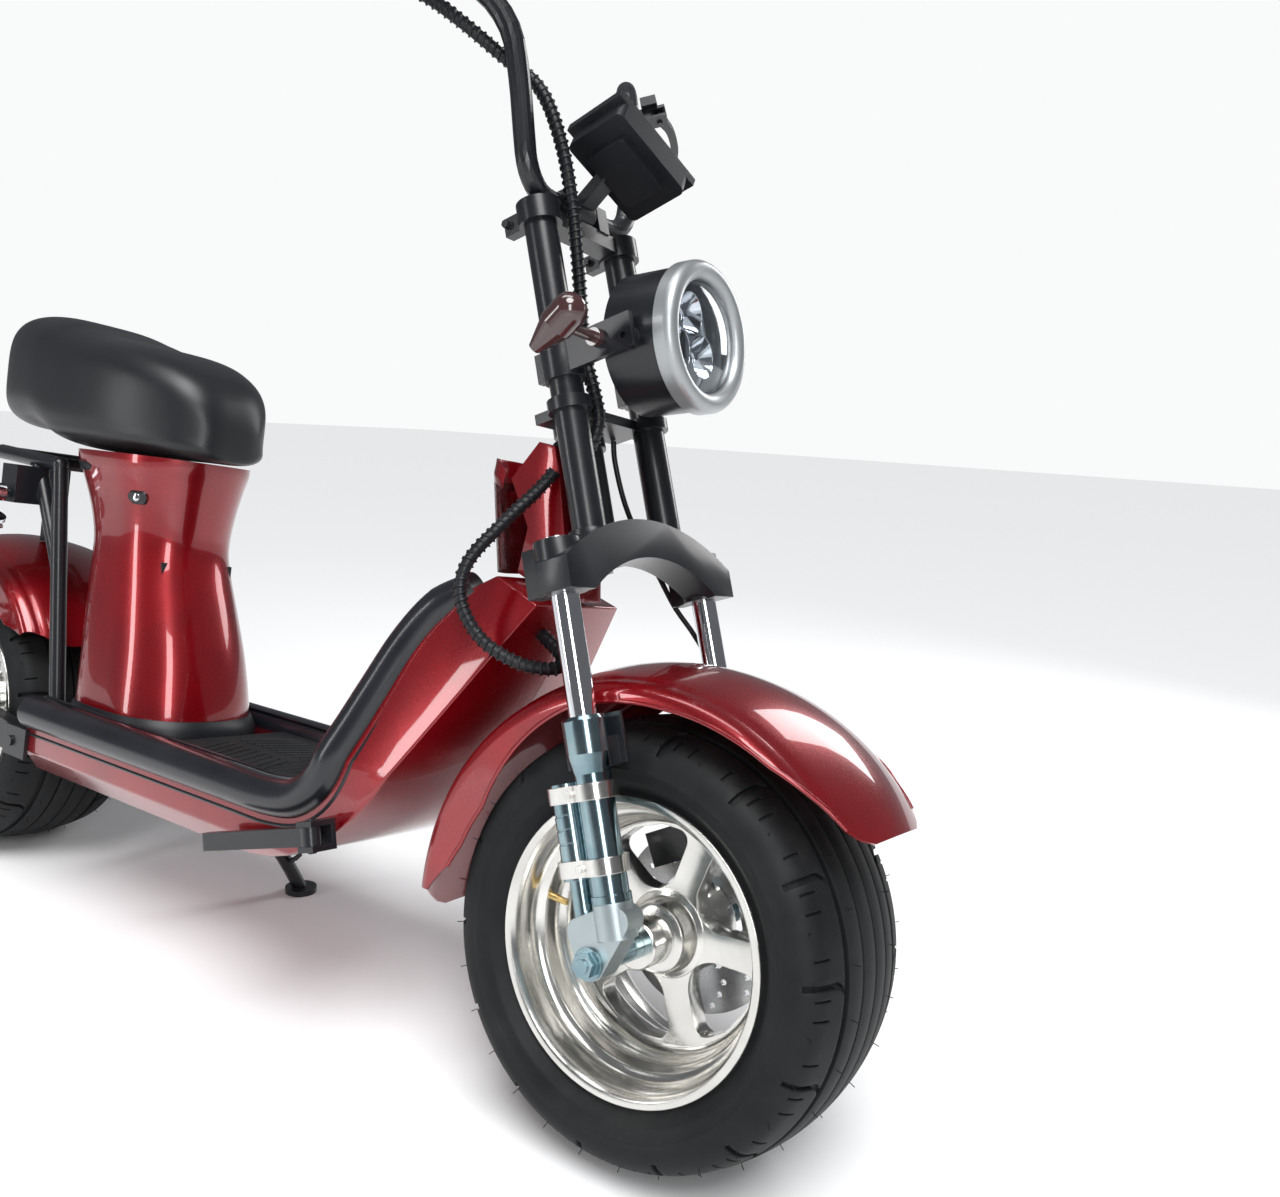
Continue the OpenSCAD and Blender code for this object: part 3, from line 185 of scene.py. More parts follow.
def sharpEdges(bm, degrees=30):
    return [e for e in bm.edges if len(e.link_faces) == 2 and e.calc_face_angle(0) > math.radians(degrees)]


def rod(bm, start, end, radius, radiusEnd=None, segments=24, bevel=0.0):
    # a round bar from one point to another
    start, end = Vector(start), Vector(end)
    made = bmesh.ops.create_cone(bm, cap_ends=True, segments=segments, radius1=radius,
                                 radius2=radius if radiusEnd is None else radiusEnd,
                                 depth=(end - start).length)["verts"]
    if bevel:
        rims = [e for e in {e for v in made for e in v.link_edges} if e.calc_face_angle(0) > 0.9]
        made = list({v for f in bmesh.ops.bevel(bm, geom=rims, offset=bevel, offset_type="OFFSET",
                                                affect="EDGES", segments=2, profile=0.5, material=-1)["faces"]
                     for v in f.verts} | {v for v in made if v.is_valid})
    turn = Vector((0, 0, 1)).rotation_difference(end - start).to_matrix().to_4x4()
    bmesh.ops.transform(bm, matrix=moved(*(start + end) / 2) @ turn, verts=made)
    return bm


def softened(node, size, degrees=30, segments=3):
    # a copy of a CAD node, its doubles merged and its edges rounded
    bm = bmesh.new()
    bm.from_mesh(nodes[node].data)
    bmesh.ops.remove_doubles(bm, verts=bm.verts, dist=2e-5)
    bmesh.ops.dissolve_limit(bm, angle_limit=math.radians(0.6), verts=bm.verts, edges=bm.edges)
    if size:
        rounded(bm, sharpEdges(bm, degrees), size, segments)
    return bm


# Materials


def newGroup(name, inputs, outputs):
    # a node group with named inputs and outputs
    group = bpy.data.node_groups.new(name, "ShaderNodeTree")
    for label, kind, value in inputs:
        made = group.interface.new_socket(label, in_out="INPUT", socket_type=kind)
        if value is not None:
            made.default_value = value
    for label, kind in outputs:
        group.interface.new_socket(label, in_out="OUTPUT", socket_type=kind)
    return group, group.nodes.new("NodeGroupInput"), group.nodes.new("NodeGroupOutput")


def addNode(tree, kind, values=(), **settings):
    node = tree.nodes.new(kind)
    for key, value in settings.items():
        setattr(node, key, value)
    for key, value in dict(values).items():
        if isinstance(value, bpy.types.NodeSocket):
            tree.links.new(value, node.inputs[key])
        else:
            node.inputs[key].default_value = value
    return node


def addMath(tree, operation, a, b=0.0, clamp=False):
    return addNode(tree, "ShaderNodeMath", {0: a, 1: b}, operation=operation, use_clamp=clamp).outputs[0]


def addMix(tree, factor, a, b):
    node = addNode(tree, "ShaderNodeMix", {0: factor, 6: a, 7: b}, data_type="RGBA")
    return node.outputs[2]


def makeGrain():
    # fine noise over broad noise, both round 0 to 1
    group, given, out = newGroup("surfaceGrain", [
        ("Vector", "NodeSocketVector", None), ("Fine Scale", "NodeSocketFloat", 900.0),
        ("Broad Scale", "NodeSocketFloat", 9.0)], [("Fine", "NodeSocketFloat"), ("Broad", "NodeSocketFloat")])
    fine = addNode(group, "ShaderNodeTexNoise", {"Vector": given.outputs["Vector"],
                   "Scale": given.outputs["Fine Scale"], "Detail": 2.0, "Roughness": 0.55})
    broad = addNode(group, "ShaderNodeTexNoise", {"Vector": given.outputs["Vector"],
                    "Scale": given.outputs["Broad Scale"], "Detail": 5.0, "Roughness": 0.6})
    group.links.new(fine.outputs["Fac"], out.inputs["Fine"])
    group.links.new(broad.outputs["Fac"], out.inputs["Broad"])
    return group


def makeDust():
    # dust that settles on faces that look up, broken by noise
    group, given, out = newGroup("settledDust", [
        ("Noise", "NodeSocketFloat", 0.5), ("Amount", "NodeSocketFloat", 0.3)], [("Mask", "NodeSocketFloat")])
    normal = addNode(group, "ShaderNodeNewGeometry").outputs["Normal"]
    up = addNode(group, "ShaderNodeSeparateXYZ", {0: normal}).outputs["Z"]
    lying = addNode(group, "ShaderNodeMapRange", {"Value": up, "From Min": 0.1, "From Max": 1.0}).outputs[0]
    patches = addNode(group, "ShaderNodeMapRange", {"Value": given.outputs["Noise"], "From Min": 0.35,
                      "From Max": 0.75}).outputs[0]
    mask = addMath(group, "MULTIPLY", addMath(group, "MULTIPLY", lying, patches), given.outputs["Amount"], True)
    group.links.new(mask, out.inputs["Mask"])
    return group


def makeEdgeWear():
    # a mask along edges, and the normal of the rounded edge
    group, given, out = newGroup("edgeWear", [
        ("Noise", "NodeSocketFloat", 0.5), ("Amount", "NodeSocketFloat", 0.5), ("Radius", "NodeSocketFloat", 0.001)],
        [("Mask", "NodeSocketFloat"), ("Normal", "NodeSocketVector")])
    soft = addNode(group, "ShaderNodeBevel", {"Radius": given.outputs["Radius"]}, samples=4).outputs[0]
    plain = addNode(group, "ShaderNodeNewGeometry").outputs["Normal"]
    apart = addNode(group, "ShaderNodeVectorMath", {0: soft, 1: plain}, operation="DOT_PRODUCT").outputs["Value"]
    edge = addNode(group, "ShaderNodeMapRange", {"Value": apart, "From Min": 0.995, "From Max": 0.9}).outputs[0]
    broken = addNode(group, "ShaderNodeMapRange", {"Value": given.outputs["Noise"], "From Min": 0.4,
                     "From Max": 0.6}).outputs[0]
    mask = addMath(group, "MULTIPLY", addMath(group, "MULTIPLY", edge, broken), given.outputs["Amount"], True)
    group.links.new(mask, out.inputs["Mask"])
    group.links.new(soft, out.inputs["Normal"])
    return group


grainGroup = makeGrain()
dustGroup = makeDust()
wearGroup = makeEdgeWear()


def useGroup(tree, group, values):
    node = tree.nodes.new("ShaderNodeGroup")
    node.node_tree = group
    for key, value in values.items():
        if isinstance(value, bpy.types.NodeSocket):
            tree.links.new(value, node.inputs[key])
        else:
            node.inputs[key].default_value = value
    return node


def makeFinish(name, look):
    # a Principled material whose colour, roughness and bump come from grain, dust and edge wear
    material = bpy.data.materials.new(name)
    material.use_nodes = True
    tree = material.node_tree
    shader = tree.nodes["Principled BSDF"]
    shader.inputs["Metallic"].default_value = look.get("metal", 0.0)
    for socket, key in (("Coat Weight", "coat"), ("Coat Roughness", "coatRough"), ("IOR", "ior"),
                        ("Sheen Weight", "sheen"), ("Transmission Weight", "clear"),
                        ("Specular IOR Level", "gloss")):
        if key in look:
            shader.inputs[socket].default_value = look[key]
    where = addNode(tree, "ShaderNodeTexCoord").outputs["Object"]
    grain = useGroup(tree, grainGroup, {"Vector": where, "Fine Scale": look.get("fine", 900.0),
                                        "Broad Scale": look.get("broad", 9.0)})
    fine, broad = grain.outputs["Fine"], grain.outputs["Broad"]
    spread = addNode(tree, "ShaderNodeMapRange", {"Value": broad, "From Min": 0.35, "From Max": 0.65}).outputs[0]
    colour = addMix(tree, spread, (*look["colour"], 1), (*look.get("shade", look["colour"]), 1))
    wear = useGroup(tree, wearGroup, {"Noise": broad, "Amount": look.get("wear", 0.0),
                                      "Radius": look.get("round", 0.0008)})
    if look.get("wear"):
        colour = addMix(tree, wear.outputs["Mask"], colour, (*look.get("bare", (0.3, 0.3, 0.3)), 1))
    rough = addMath(tree, "ADD", look["rough"] - look.get("roughVary", 0.05),
                    addMath(tree, "MULTIPLY", fine, 2 * look.get("roughVary", 0.05)))
    if look.get("dust"):
        dust = useGroup(tree, dustGroup, {"Noise": broad, "Amount": look["dust"]}).outputs["Mask"]
        colour = addMix(tree, dust, colour, (0.42, 0.40, 0.37, 1))
        rough = addMath(tree, "ADD", rough, addMath(tree, "MULTIPLY", dust, 0.35), True)
    tree.links.new(colour, shader.inputs["Base Color"])
    tree.links.new(rough, shader.inputs["Roughness"])
    bump = addNode(tree, "ShaderNodeBump", {"Height": fine, "Distance": look.get("depth", 0.0001),
                   "Strength": look.get("bump", 0.3), "Normal": wear.outputs["Normal"]})
    tree.links.new(bump.outputs[0], shader.inputs["Normal"])
    return material


finishes = {
    "redPaint": dict(colour=(0.27, 0.0015, 0.006), shade=(0.20, 0.001, 0.005), rough=0.27, roughVary=0.05, metal=0.5,
                     coat=1.0, coatRough=0.04, fine=1600, bump=0.06, dust=0.01, round=0.0012),
    "blackSatin": dict(colour=(0.006, 0.007, 0.009), shade=(0.009, 0.010, 0.013), rough=0.33, roughVary=0.07, coat=0.35,
                       coatRough=0.22, fine=700, bump=0.14, dust=0.02, gloss=0.35, wear=0.35, bare=(0.09, 0.1, 0.11)),
    "blackPlastic": dict(colour=(0.006, 0.007, 0.009), shade=(0.009, 0.010, 0.013), rough=0.40, roughVary=0.08,
                         gloss=0.35, fine=1300, bump=0.35, depth=0.0002, dust=0.02),
    "bumperBlack": dict(colour=(0.006, 0.007, 0.010), shade=(0.009, 0.010, 0.014), rough=0.30, roughVary=0.05, coat=0.4,
                        coatRough=0.18, fine=1000, bump=0.12, dust=0.02, gloss=0.4),
    "tyreRubber": dict(colour=(0.005, 0.006, 0.007), shade=(0.010, 0.011, 0.012), rough=0.60, roughVary=0.10,
                       gloss=0.22, fine=1500, bump=0.45, depth=0.0002, dust=0.03, broad=14, round=0.0015),
    "softRubber": dict(colour=(0.006, 0.007, 0.008), shade=(0.010, 0.011, 0.013), rough=0.60, gloss=0.3,
                       fine=1700, bump=0.5, depth=0.0002, dust=0.03),
    "polishedAlloy": dict(colour=(0.72, 0.71, 0.68), shade=(0.62, 0.61, 0.58), rough=0.20, roughVary=0.07, metal=1.0,
                          fine=500, broad=16, bump=0.05, round=0.0016),
    "castAlloy": dict(colour=(0.46, 0.52, 0.53), shade=(0.38, 0.44, 0.46), rough=0.40, roughVary=0.08, metal=1.0,
                      fine=900, bump=0.3, depth=0.0002, round=0.0018, wear=0.3, bare=(0.7, 0.72, 0.72)),
    "chromePlate": dict(colour=(0.80, 0.81, 0.83), shade=(0.70, 0.71, 0.74), rough=0.07, roughVary=0.02, metal=1.0,
                        bump=0.02, round=0.0010),
    "blueZinc": dict(colour=(0.20, 0.30, 0.34), shade=(0.30, 0.40, 0.43), rough=0.17, roughVary=0.05, metal=1.0,
                     broad=22, bump=0.06, round=0.0010),
    "discSteel": dict(colour=(0.45, 0.46, 0.47), shade=(0.36, 0.36, 0.37), rough=0.30, roughVary=0.1, metal=1.0,
                      fine=600, bump=0.15),
    "seatVinyl": dict(colour=(0.007, 0.008, 0.010), shade=(0.010, 0.012, 0.014), rough=0.38, roughVary=0.06,
                      fine=850, bump=0.34, depth=0.00025, sheen=0.02, dust=0.01, broad=6, gloss=0.45),
    "brownLens": dict(colour=(0.060, 0.022, 0.022), shade=(0.035, 0.015, 0.016), rough=0.16, coat=1.0, coatRough=0.04,
                      bump=0.05),
    "redLens": dict(colour=(0.38, 0.008, 0.012), shade=(0.28, 0.006, 0.01), rough=0.12, coat=1.0, coatRough=0.03,
                    bump=0.03),
    "silverPaint": dict(colour=(0.40, 0.42, 0.43), shade=(0.34, 0.36, 0.37), rough=0.42, roughVary=0.05, metal=0.7,
                        fine=1400, bump=0.12, coat=0.5, coatRough=0.12),
    "brass": dict(colour=(0.72, 0.52, 0.22), shade=(0.6, 0.42, 0.16), rough=0.28, metal=1.0, bump=0.1),
    "clearGlass": dict(colour=(0.93, 0.97, 1.0), rough=0.03, roughVary=0.01, clear=1.0, ior=1.45, bump=0.01,
                       depth=0.00002),
}
surface = {name: makeFinish(name, look) for name, look in finishes.items()}

slotFinish = {
    "red_paint": "redPaint", "black_satin": "blackSatin", "black_plastic": "blackPlastic", "seat_vinyl": "seatVinyl",
    "tyre_rubber": "tyreRubber", "rubber": "softRubber", "alloy": "polishedAlloy", "chrome": "chromePlate",
    "zinc_steel": "blueZinc", "steel": "discSteel", "clear_glass": "clearGlass", "smoked_lens": "brownLens",
    "red_lens": "redLens"}
nodeFinish = {"fork_dropouts": "castAlloy", "edge_trim": "bumperBlack", "steering_stem": "blackSatin",
              "headlight_ring": "silverPaint"}
for node, part in nodes.items():
    part.data.materials.clear()
    part.data.materials.append(surface[nodeFinish.get(node, slotFinish[slotOf[node]])])
print("materials made:", len(surface))

# Tyres

tyre = {
    "crownRadius": 0.2385, "crownArc": 0.3, "shoulderRadius": 0.03, "halfWidth": 0.108,
    "pitches": 14, "stepsPerPitch": 16,
    "grooves": [(0.0, 0.0014), (0.028, 0.0015), (0.058, 0.004)],   # from the middle, half width
    "rows": [0.0014, 0.0140, 0.0265, 0.0295, 0.041, 0.054, 0.062, 0.065, 0.068, 0.071, 0.0745, 0.0795, 0.084],
    "grooveDepth": 0.0058, "cornerLength": 0.0085, "sipeSteps": (3, 6, 12), "sipeWidth": 0.0020, "sipeDepth": 0.003,
    "hairLength": 0.0065, "hairRadius": 0.0005,
    "sideAbove": 0.205, "shoulderAbove": 0.209, "sipeAbove": 0.217, "sipeBand": (0.079, 0.1), "lipRound": 0.0007,
    "bendFrom": 0.062, "bendOver": 0.0125,
}


def tyreProfile():
    # half the section from the tread's middle to the bead, as (radius, distance from the middle)
    arc, corner = tyre["crownArc"], tyre["shoulderRadius"]
    cornerY = tyre["halfWidth"] - corner
    cornerR = tyre["crownRadius"] - arc + math.sqrt((arc - corner) ** 2 - cornerY ** 2)
    half = [(tyre["crownRadius"] - arc + math.sqrt(arc ** 2 - y ** 2), y) for y in tyre["rows"]]
    half += [(cornerR + corner * math.cos(a), cornerY + corner * math.sin(a))
             for a in (math.radians(d) for d in (17, 27, 37, 47, 57, 67, 78, 90))]
    half += [(0.1925, 0.1083), (0.1902, 0.1090), (0.1884, 0.1090), (0.1868, 0.1076), (0.1830, 0.1062), (0.1775, 0.1030),
             (0.1760, 0.1026), (0.1742, 0.1006), (0.1700, 0.0962), (0.1660, 0.0918), (0.1632, 0.0894), (0.1570, 0.0885),
             (0.1508, 0.0885)]
    return half


def makeTyre(name, hub, body, node):
    bm = bmesh.new()
    half = tyreProfile()
    profile = [(r, -y) for r, y in reversed(half)] + half
    lathe(bm, profile, tyre["pitches"] * tyre["stepsPerPitch"], closeProfile=True)
    bmesh.ops.recalc_face_normals(bm, faces=bm.faces)
    pitch = math.tau / tyre["pitches"]

    def column(centre):
        return int((math.atan2(centre.z, centre.x) % pitch) / pitch * tyre["stepsPerPitch"])

    cut, sipes = [], []
    for face in bm.faces:
        centre = face.calc_center_median()
        radius, y = math.hypot(centre.x, centre.z), abs(centre.y)
        if radius < tyre["sideAbove"]:
            continue
        ringCut = any(abs(y - at) < half for at, half in tyre["grooves"])
        shoulder = y > tyre["grooves"][-1][0]
        if ringCut or (shoulder and column(centre) == tyre["stepsPerPitch"] // 2 and radius > tyre["shoulderAbove"]):
            cut.append(face)
        elif (column(centre) in tyre["sipeSteps"] and tyre["sipeBand"][0] < y < tyre["sipeBand"][1]
              and radius > tyre["sipeAbove"]):
            sipes.append(face)
    for faces, inset, depth in ((cut, 0, tyre["grooveDepth"]), (sipes, tyre["sipeWidth"], tyre["sipeDepth"])):
        if inset:
            bmesh.ops.inset_region(bm, faces=faces, thickness=inset, use_even_offset=True)
        grown = bmesh.ops.extrude_face_region(bm, geom=faces)["geom"]
        kept = set(grown)
        bmesh.ops.delete(bm, geom=[f for f in faces if f.is_valid and f not in kept], context="FACES_ONLY")
        bm.normal_update()
        for v in [g for g in grown if isinstance(g, bmesh.types.BMVert)]:
            v.co -= v.normal * depth
    bmesh.ops.recalc_face_normals(bm, faces=bm.faces)
    bm.normal_update()
    lips = [e for e in bm.edges if len(e.link_faces) == 2 and e.is_convex and e.calc_face_angle(0) > 0.8
            and math.hypot(e.verts[0].co.x, e.verts[0].co.z) > tyre["sideAbove"]]
    rounded(bm, lips, tyre["lipRound"], 2)
    # each shoulder groove bends into the groove round the tread
    for v in bm.verts:
        away = max(0.0, min(1.0, (abs(v.co.y) - tyre["bendFrom"]) / tyre["bendOver"]))
        angle = -tyre["cornerLength"] * (1 - away) ** 2 / tyre["crownRadius"]
        v.co = Matrix.Rotation(-angle, 3, "Y") @ v.co
    for k in range(2 * tyre["pitches"]):
        for y, at in ((0.0995, 0.2180), (0.045, 0.2355)):
            for side in (-1, 1):
                angle = (k + 0.31 + 0.2 * side * (y > 0.05)) * math.pi / tyre["pitches"]
                out = Vector((math.cos(angle), side * (0.9 if y > 0.05 else 0.06), math.sin(angle))).normalized()
                foot = Vector((at * math.cos(angle), side * y, at * math.sin(angle)))
                tip = foot + out * tyre["hairLength"]
                if (hub @ tip).z > 0.001:
                    rod(bm, foot - out * 0.001, tip, tyre["hairRadius"], segments=5)
    return finishPiece(name, bm, surface["tyreRubber"], body, hub, [node], 38, closed=False)


makeTyre("frontTyreTread", steer, "front_wheel", "front_tyre")
makeTyre("rearTyreTread", rearHub, "rear_wheel", "rear_tyre")
print("tyres made")

# Rims

rim = {
    "dish": [(0.1508, 0.0884), (0.1600, 0.0888), (0.1607, 0.0930), (0.1594, 0.0956), (0.1550, 0.0961),
             (0.1514, 0.0948), (0.1482, 0.0905), (0.1464, 0.0850), (0.1456, 0.0700), (0.1450, 0.0625), (0.1425, 0.0585),
             (0.1384, 0.0563), (0.1360, 0.0545), (0.1348, 0.0505), (0.1340, 0.0400), (0.1326, 0.0350),
             (0.1290, 0.0312), (0.1250, 0.0272), (0.1225, 0.0212), (0.1215, 0.0140)],
    "webRadius": 0.1245, "webThickness": 0.024, "spokes": 5,
    "windowInner": 0.051, "windowOuter": 0.1165, "innerAngle": 18.0, "outerAngle": 27.5, "windowCorner": 0.017,
    "lip": 0.0045,
    "hub": [(0.0076, 0.0750), (0.0240, 0.0750), (0.0260, 0.0730), (0.0260, 0.0415), (0.0335, 0.0405), (0.0372, 0.0380),
            (0.0385, 0.0340), (0.0388, 0.0210), (0.0415, 0.0150), (0.0480, 0.0121)],
    "discSide": [(0.050, 0.0121), (0.050, 0.0555), (0.0262, 0.0557), (0.0260, 0.0730), (0.0240, 0.0750),
                 (0.0076, 0.0750)],
    "motorRing": [(0.1124, -0.012), (0.1245, -0.012), (0.1245, 0.012), (0.1124, 0.012)],
}
valve = {
    "turn": 205, "place": (0.135, -0.049, 0.0),
    "steps": [(0.004, -0.011, 0.0045, 0.0008), (-0.010, -0.024, 0.0034, 0.0006)],   # from, to, radius, bevel
    "threads": 5, "threadStart": -0.012, "threadPitch": 0.0022, "threadRadius": 0.0039,
}


def wheelDish(bm):
    dish = rim["dish"]
    lathe(bm, [(r, -y) for r, y in dish] + [(r, y) for r, y in reversed(dish)], 144, closeProfile=True)


def wheelWeb(bm):
    # flat spokes between rounded windows with bevelled rims
    web = bmesh.new()
    bmesh.ops.create_circle(web, cap_ends=False, segments=120, radius=rim["webRadius"])
    for i in range(rim["spokes"]):
        middle = 90 + i * 360 / rim["spokes"]
        corners = [(rim["windowInner"], -rim["innerAngle"]), (rim["windowOuter"], -rim["outerAngle"]),
                   (rim["windowOuter"] + 0.002, -9), (rim["windowOuter"] + 0.002, 9),
                   (rim["windowOuter"], rim["outerAngle"]), (rim["windowInner"], rim["innerAngle"])]
        made = [web.verts.new((r * math.cos(math.radians(middle + a)), r * math.sin(math.radians(middle + a)), 0))
                for r, a in corners]
        web.faces.new(made)
        cornersOnly = [made[i] for i in (0, 1, 4, 5)]
        bmesh.ops.bevel(web, geom=cornersOnly, offset=rim["windowCorner"], offset_type="OFFSET", affect="VERTICES",
                        segments=7, profile=0.5, material=-1)
    bmesh.ops.delete(web, geom=web.faces[:], context="FACES_ONLY")
    bmesh.ops.triangle_fill(web, use_beauty=True, edges=web.edges)
    bmesh.ops.translate(web, vec=(0, 0, -rim["webThickness"] / 2), verts=web.verts)
    flatWeb = web.faces[:] + web.edges[:] + web.verts[:]
    grown = bmesh.ops.extrude_face_region(web, geom=flatWeb, use_keep_orig=True)["geom"]
    bmesh.ops.translate(web, vec=(0, 0, rim["webThickness"]),
                        verts=[g for g in grown if isinstance(g, bmesh.types.BMVert)])
    bmesh.ops.recalc_face_normals(web, faces=web.faces)
    web.normal_update()
    rims = [e for e in web.edges if len(e.link_faces) == 2 and e.calc_face_angle(0) > 1.2
            and e.verts[0].co.xy.length < 0.12]
    rounded(web, rims, rim["lip"], 3)
    bmesh.ops.rotate(web, cent=(0, 0, 0), matrix=Matrix.Rotation(math.radians(90), 3, "X"), verts=web.verts)
    held = bpy.data.meshes.new("web")
    web.to_mesh(held)
    web.free()
    bm.from_mesh(held)
    bpy.data.meshes.remove(held)


bm = bmesh.new()
wheelDish(bm)
wheelWeb(bm)
lathe(bm, [(r, -y) for r, y in rim["hub"]] + rim["discSide"], 72, closeProfile=True)
finishPiece("frontRimCast", bm, surface["polishedAlloy"], "front_wheel", steer, ["front_rim"], 30)
bm = bmesh.new()
wheelDish(bm)
lathe(bm, rim["motorRing"], 144, closeProfile=True)
finishPiece("rearRimCast", bm, surface["polishedAlloy"], "rear_wheel", rearHub, ["rear_rim"], 30)
for name, hub, body in (("frontValve", steer, "front_wheel"), ("rearValve", rearHub, "rear_wheel")):
    bm = bmesh.new()
    spot = turned(valve["turn"], "Y") @ moved(*valve["place"])
    for begin, end, radius, bevel in valve["steps"]:
        rod(bm, spot @ Vector((begin, 0, 0)), spot @ Vector((end, 0, 0)), radius, segments=20, bevel=bevel)
    for k in range(valve["threads"]):
        at = valve["threadStart"] - k * valve["threadPitch"]
        past = at - valve["threadPitch"] / 2
        rod(bm, spot @ Vector((at, 0, 0)), spot @ Vector((past, 0, 0)), valve["threadRadius"], segments=20)
    finishPiece(name, bm, surface["brass"], body, hub)
print("rims made")

# Fenders

fender = {
    "crown": 0.297, "wall": 0.003, "steps": 96, "skirtRows": 7, "skirtStart": 0.037,
    "half": [(0.037, 0.1180), (0.0310, 0.1174), (0.0262, 0.1150), (0.0222, 0.1108), (0.0192, 0.1045), (0.0178, 0.0985),
             (0.0172, 0.0955), (0.0150, 0.0915), (0.0122, 0.0830), (0.0092, 0.0710), (0.0058, 0.0545), (0.0026, 0.0350),
             (0.0007, 0.0170)],
    "lipRadius": 0.0024,
    "front": {"from": 15, "to": 168, "cornerFrom": 9.0, "cornerTo": 7.0,
              # degrees round the wheel from the front, and how far the edge hangs below the crown in mm
              "edge": [(8, 1), (15, 13), (30, 27), (60, 37), (90, 41), (115, 57), (140, 75), (158, 71), (172, 57)]},
    "rear": {"from": 28, "to": 172, "cornerFrom": 7.0, "cornerTo": 7.0,
             "edge": [(20, 61), (34, 71), (60, 57), (90, 41), (120, 39), (150, 29), (176, 17)]},
    "rowShare": 0.012, "cornerReach": 1.2, "cornerHeights": (0.055, 0.118), "cornerDrops": (0.038, 0.056),
}
fender["byDrop"] = [(0.0, 0.0)] + sorted(fender["half"])


def fenderPoint(shape, along, across, sign):
    # a point of the fender: along from 0 to 1 round the wheel, across from the skirt's edge at 0 to the crown at 1
    half, rows = fender["half"], fender["skirtRows"]
    drop = 0.001 * reading(shape["edge"], mix(shape["from"], shape["to"], along))
    share = max(0.0, 1 - across / rows)
    if across < rows:
        down, y = max(fender["skirtStart"], mix(fender["skirtStart"], drop, share)), half[0][1]
    else:
        down, y = half[across - rows] if across - rows < len(half) else (0.0, 0.0)
    lowest = drop * (1 - fender["rowShare"] * across)   # rows below a short edge lie close beside it
    if down > lowest and drop < fender["skirtStart"]:
        down, y = lowest, reading(fender["byDrop"], lowest)
    radius = fender["crown"] - down
    reach = step(*fender["cornerHeights"], y) + fender["cornerReach"] * share * step(*fender["cornerDrops"], drop)
    angle = mix(shape["from"] + shape["cornerFrom"] * reach, shape["to"] - shape["cornerTo"] * reach, along)
    return Vector((radius * math.cos(math.radians(angle)), sign * y, radius * math.sin(math.radians(angle))))


def makeFender(name, shape, hub, body, node):
    rows = fender["skirtRows"] + len(fender["half"])
    bm = bmesh.new()
    columns, lanes = fender["steps"], 2 * rows
    bmesh.ops.create_grid(bm, x_segments=columns, y_segments=lanes, size=1.0)
    for v in bm.verts:
        lane = round((v.co.y + 1) / 2 * lanes)
        across = lane if lane <= rows else 2 * rows - lane
        v.co = fenderPoint(shape, (v.co.x + 1) / 2, across, -1 if lane <= rows else 1)
    bmesh.ops.recalc_face_normals(bm, faces=bm.faces)
    crown = max(bm.faces, key=lambda f: f.calc_center_median().length)
    if crown.normal.dot(crown.calc_center_median()) < 0:
        bmesh.ops.reverse_faces(bm, faces=bm.faces)
    bmesh.ops.solidify(bm, geom=bm.faces[:], thickness=fender["wall"])
    for sign in (-1, 1):
        edge = [fenderPoint(shape, k / columns, 0, sign) - Vector((0, sign * 0.0012, 0)) for k in range(columns + 1)]
        sweep(bm, edge, fender["lipRadius"], 8, side=(0, 1, 0.01))
    return finishPiece(name, bm, surface["redPaint"], body, hub, [node], 50)


makeFender("frontFenderPressed", fender["front"], steer, "steering", "front_fender")
makeFender("rearFenderPressed", fender["rear"], rearHub, "frame", "rear_fender")
print("fenders made")

# Body, bumper and mat

body = {
    "bend": 0.288, "floor": 0.283, "rear": -0.38, "halfWidth": 0.15, "topHeight": 0.6, "topHalf": 0.066,
    "taperFrom": 0.36, "edgeRound": 0.013, "bumperRadius": 0.025, "bumperInside": 0.006, "bumperAbove": 0.004,
    "rise": [(-0.168, 0.0), (-0.100, 0.001), (-0.046, 0.012), (-0.006, 0.046), (0.018, 0.100), (0.038, 0.160),
             (0.058, 0.218), (0.084, 0.262), (0.120, 0.292), (0.160, 0.317)],
    "thinOver": 6, "thinTo": 0.72,
    "beads": [(-0.029, 0.0015, 0.0030), (0.026, 0.023, 0.0022)],   # above the line, inside the body's side, radius
}
matRibs = {"first": -0.085, "pitch": 0.017, "count": 9, "slant": 0.030, "inner": 0.012, "outer": 0.088,
           "height": 0.2899, "radius": 0.0026}


def halfAt(z):
    share = (z - body["taperFrom"]) / (body["topHeight"] - body["taperFrom"])
    return mix(body["halfWidth"], body["topHalf"], max(0.0, min(1.0, share)))


def besideRise(distance, inside, side, last=4):
    # the board's top line moved out square to itself, and along the body's side
    line = smoothLine([(body["bend"] + x, 0, body["floor"] + z) for x, z in body["rise"]], 5)
    points = [Vector((body["rear"] + 0.004 + k * 0.05, 0, body["floor"])) for k in range(10)] + line
    shifted = []
    for i, p in enumerate(points):
        along = (points[min(i + 1, len(points) - 1)] - points[max(i - 1, 0)]).normalized()
        q = p + Vector((-along.z, 0, along.x)) * distance
        shifted.append(Vector((q.x, side * (halfAt(q.z) - inside), q.z)))
    return shifted[:-last]


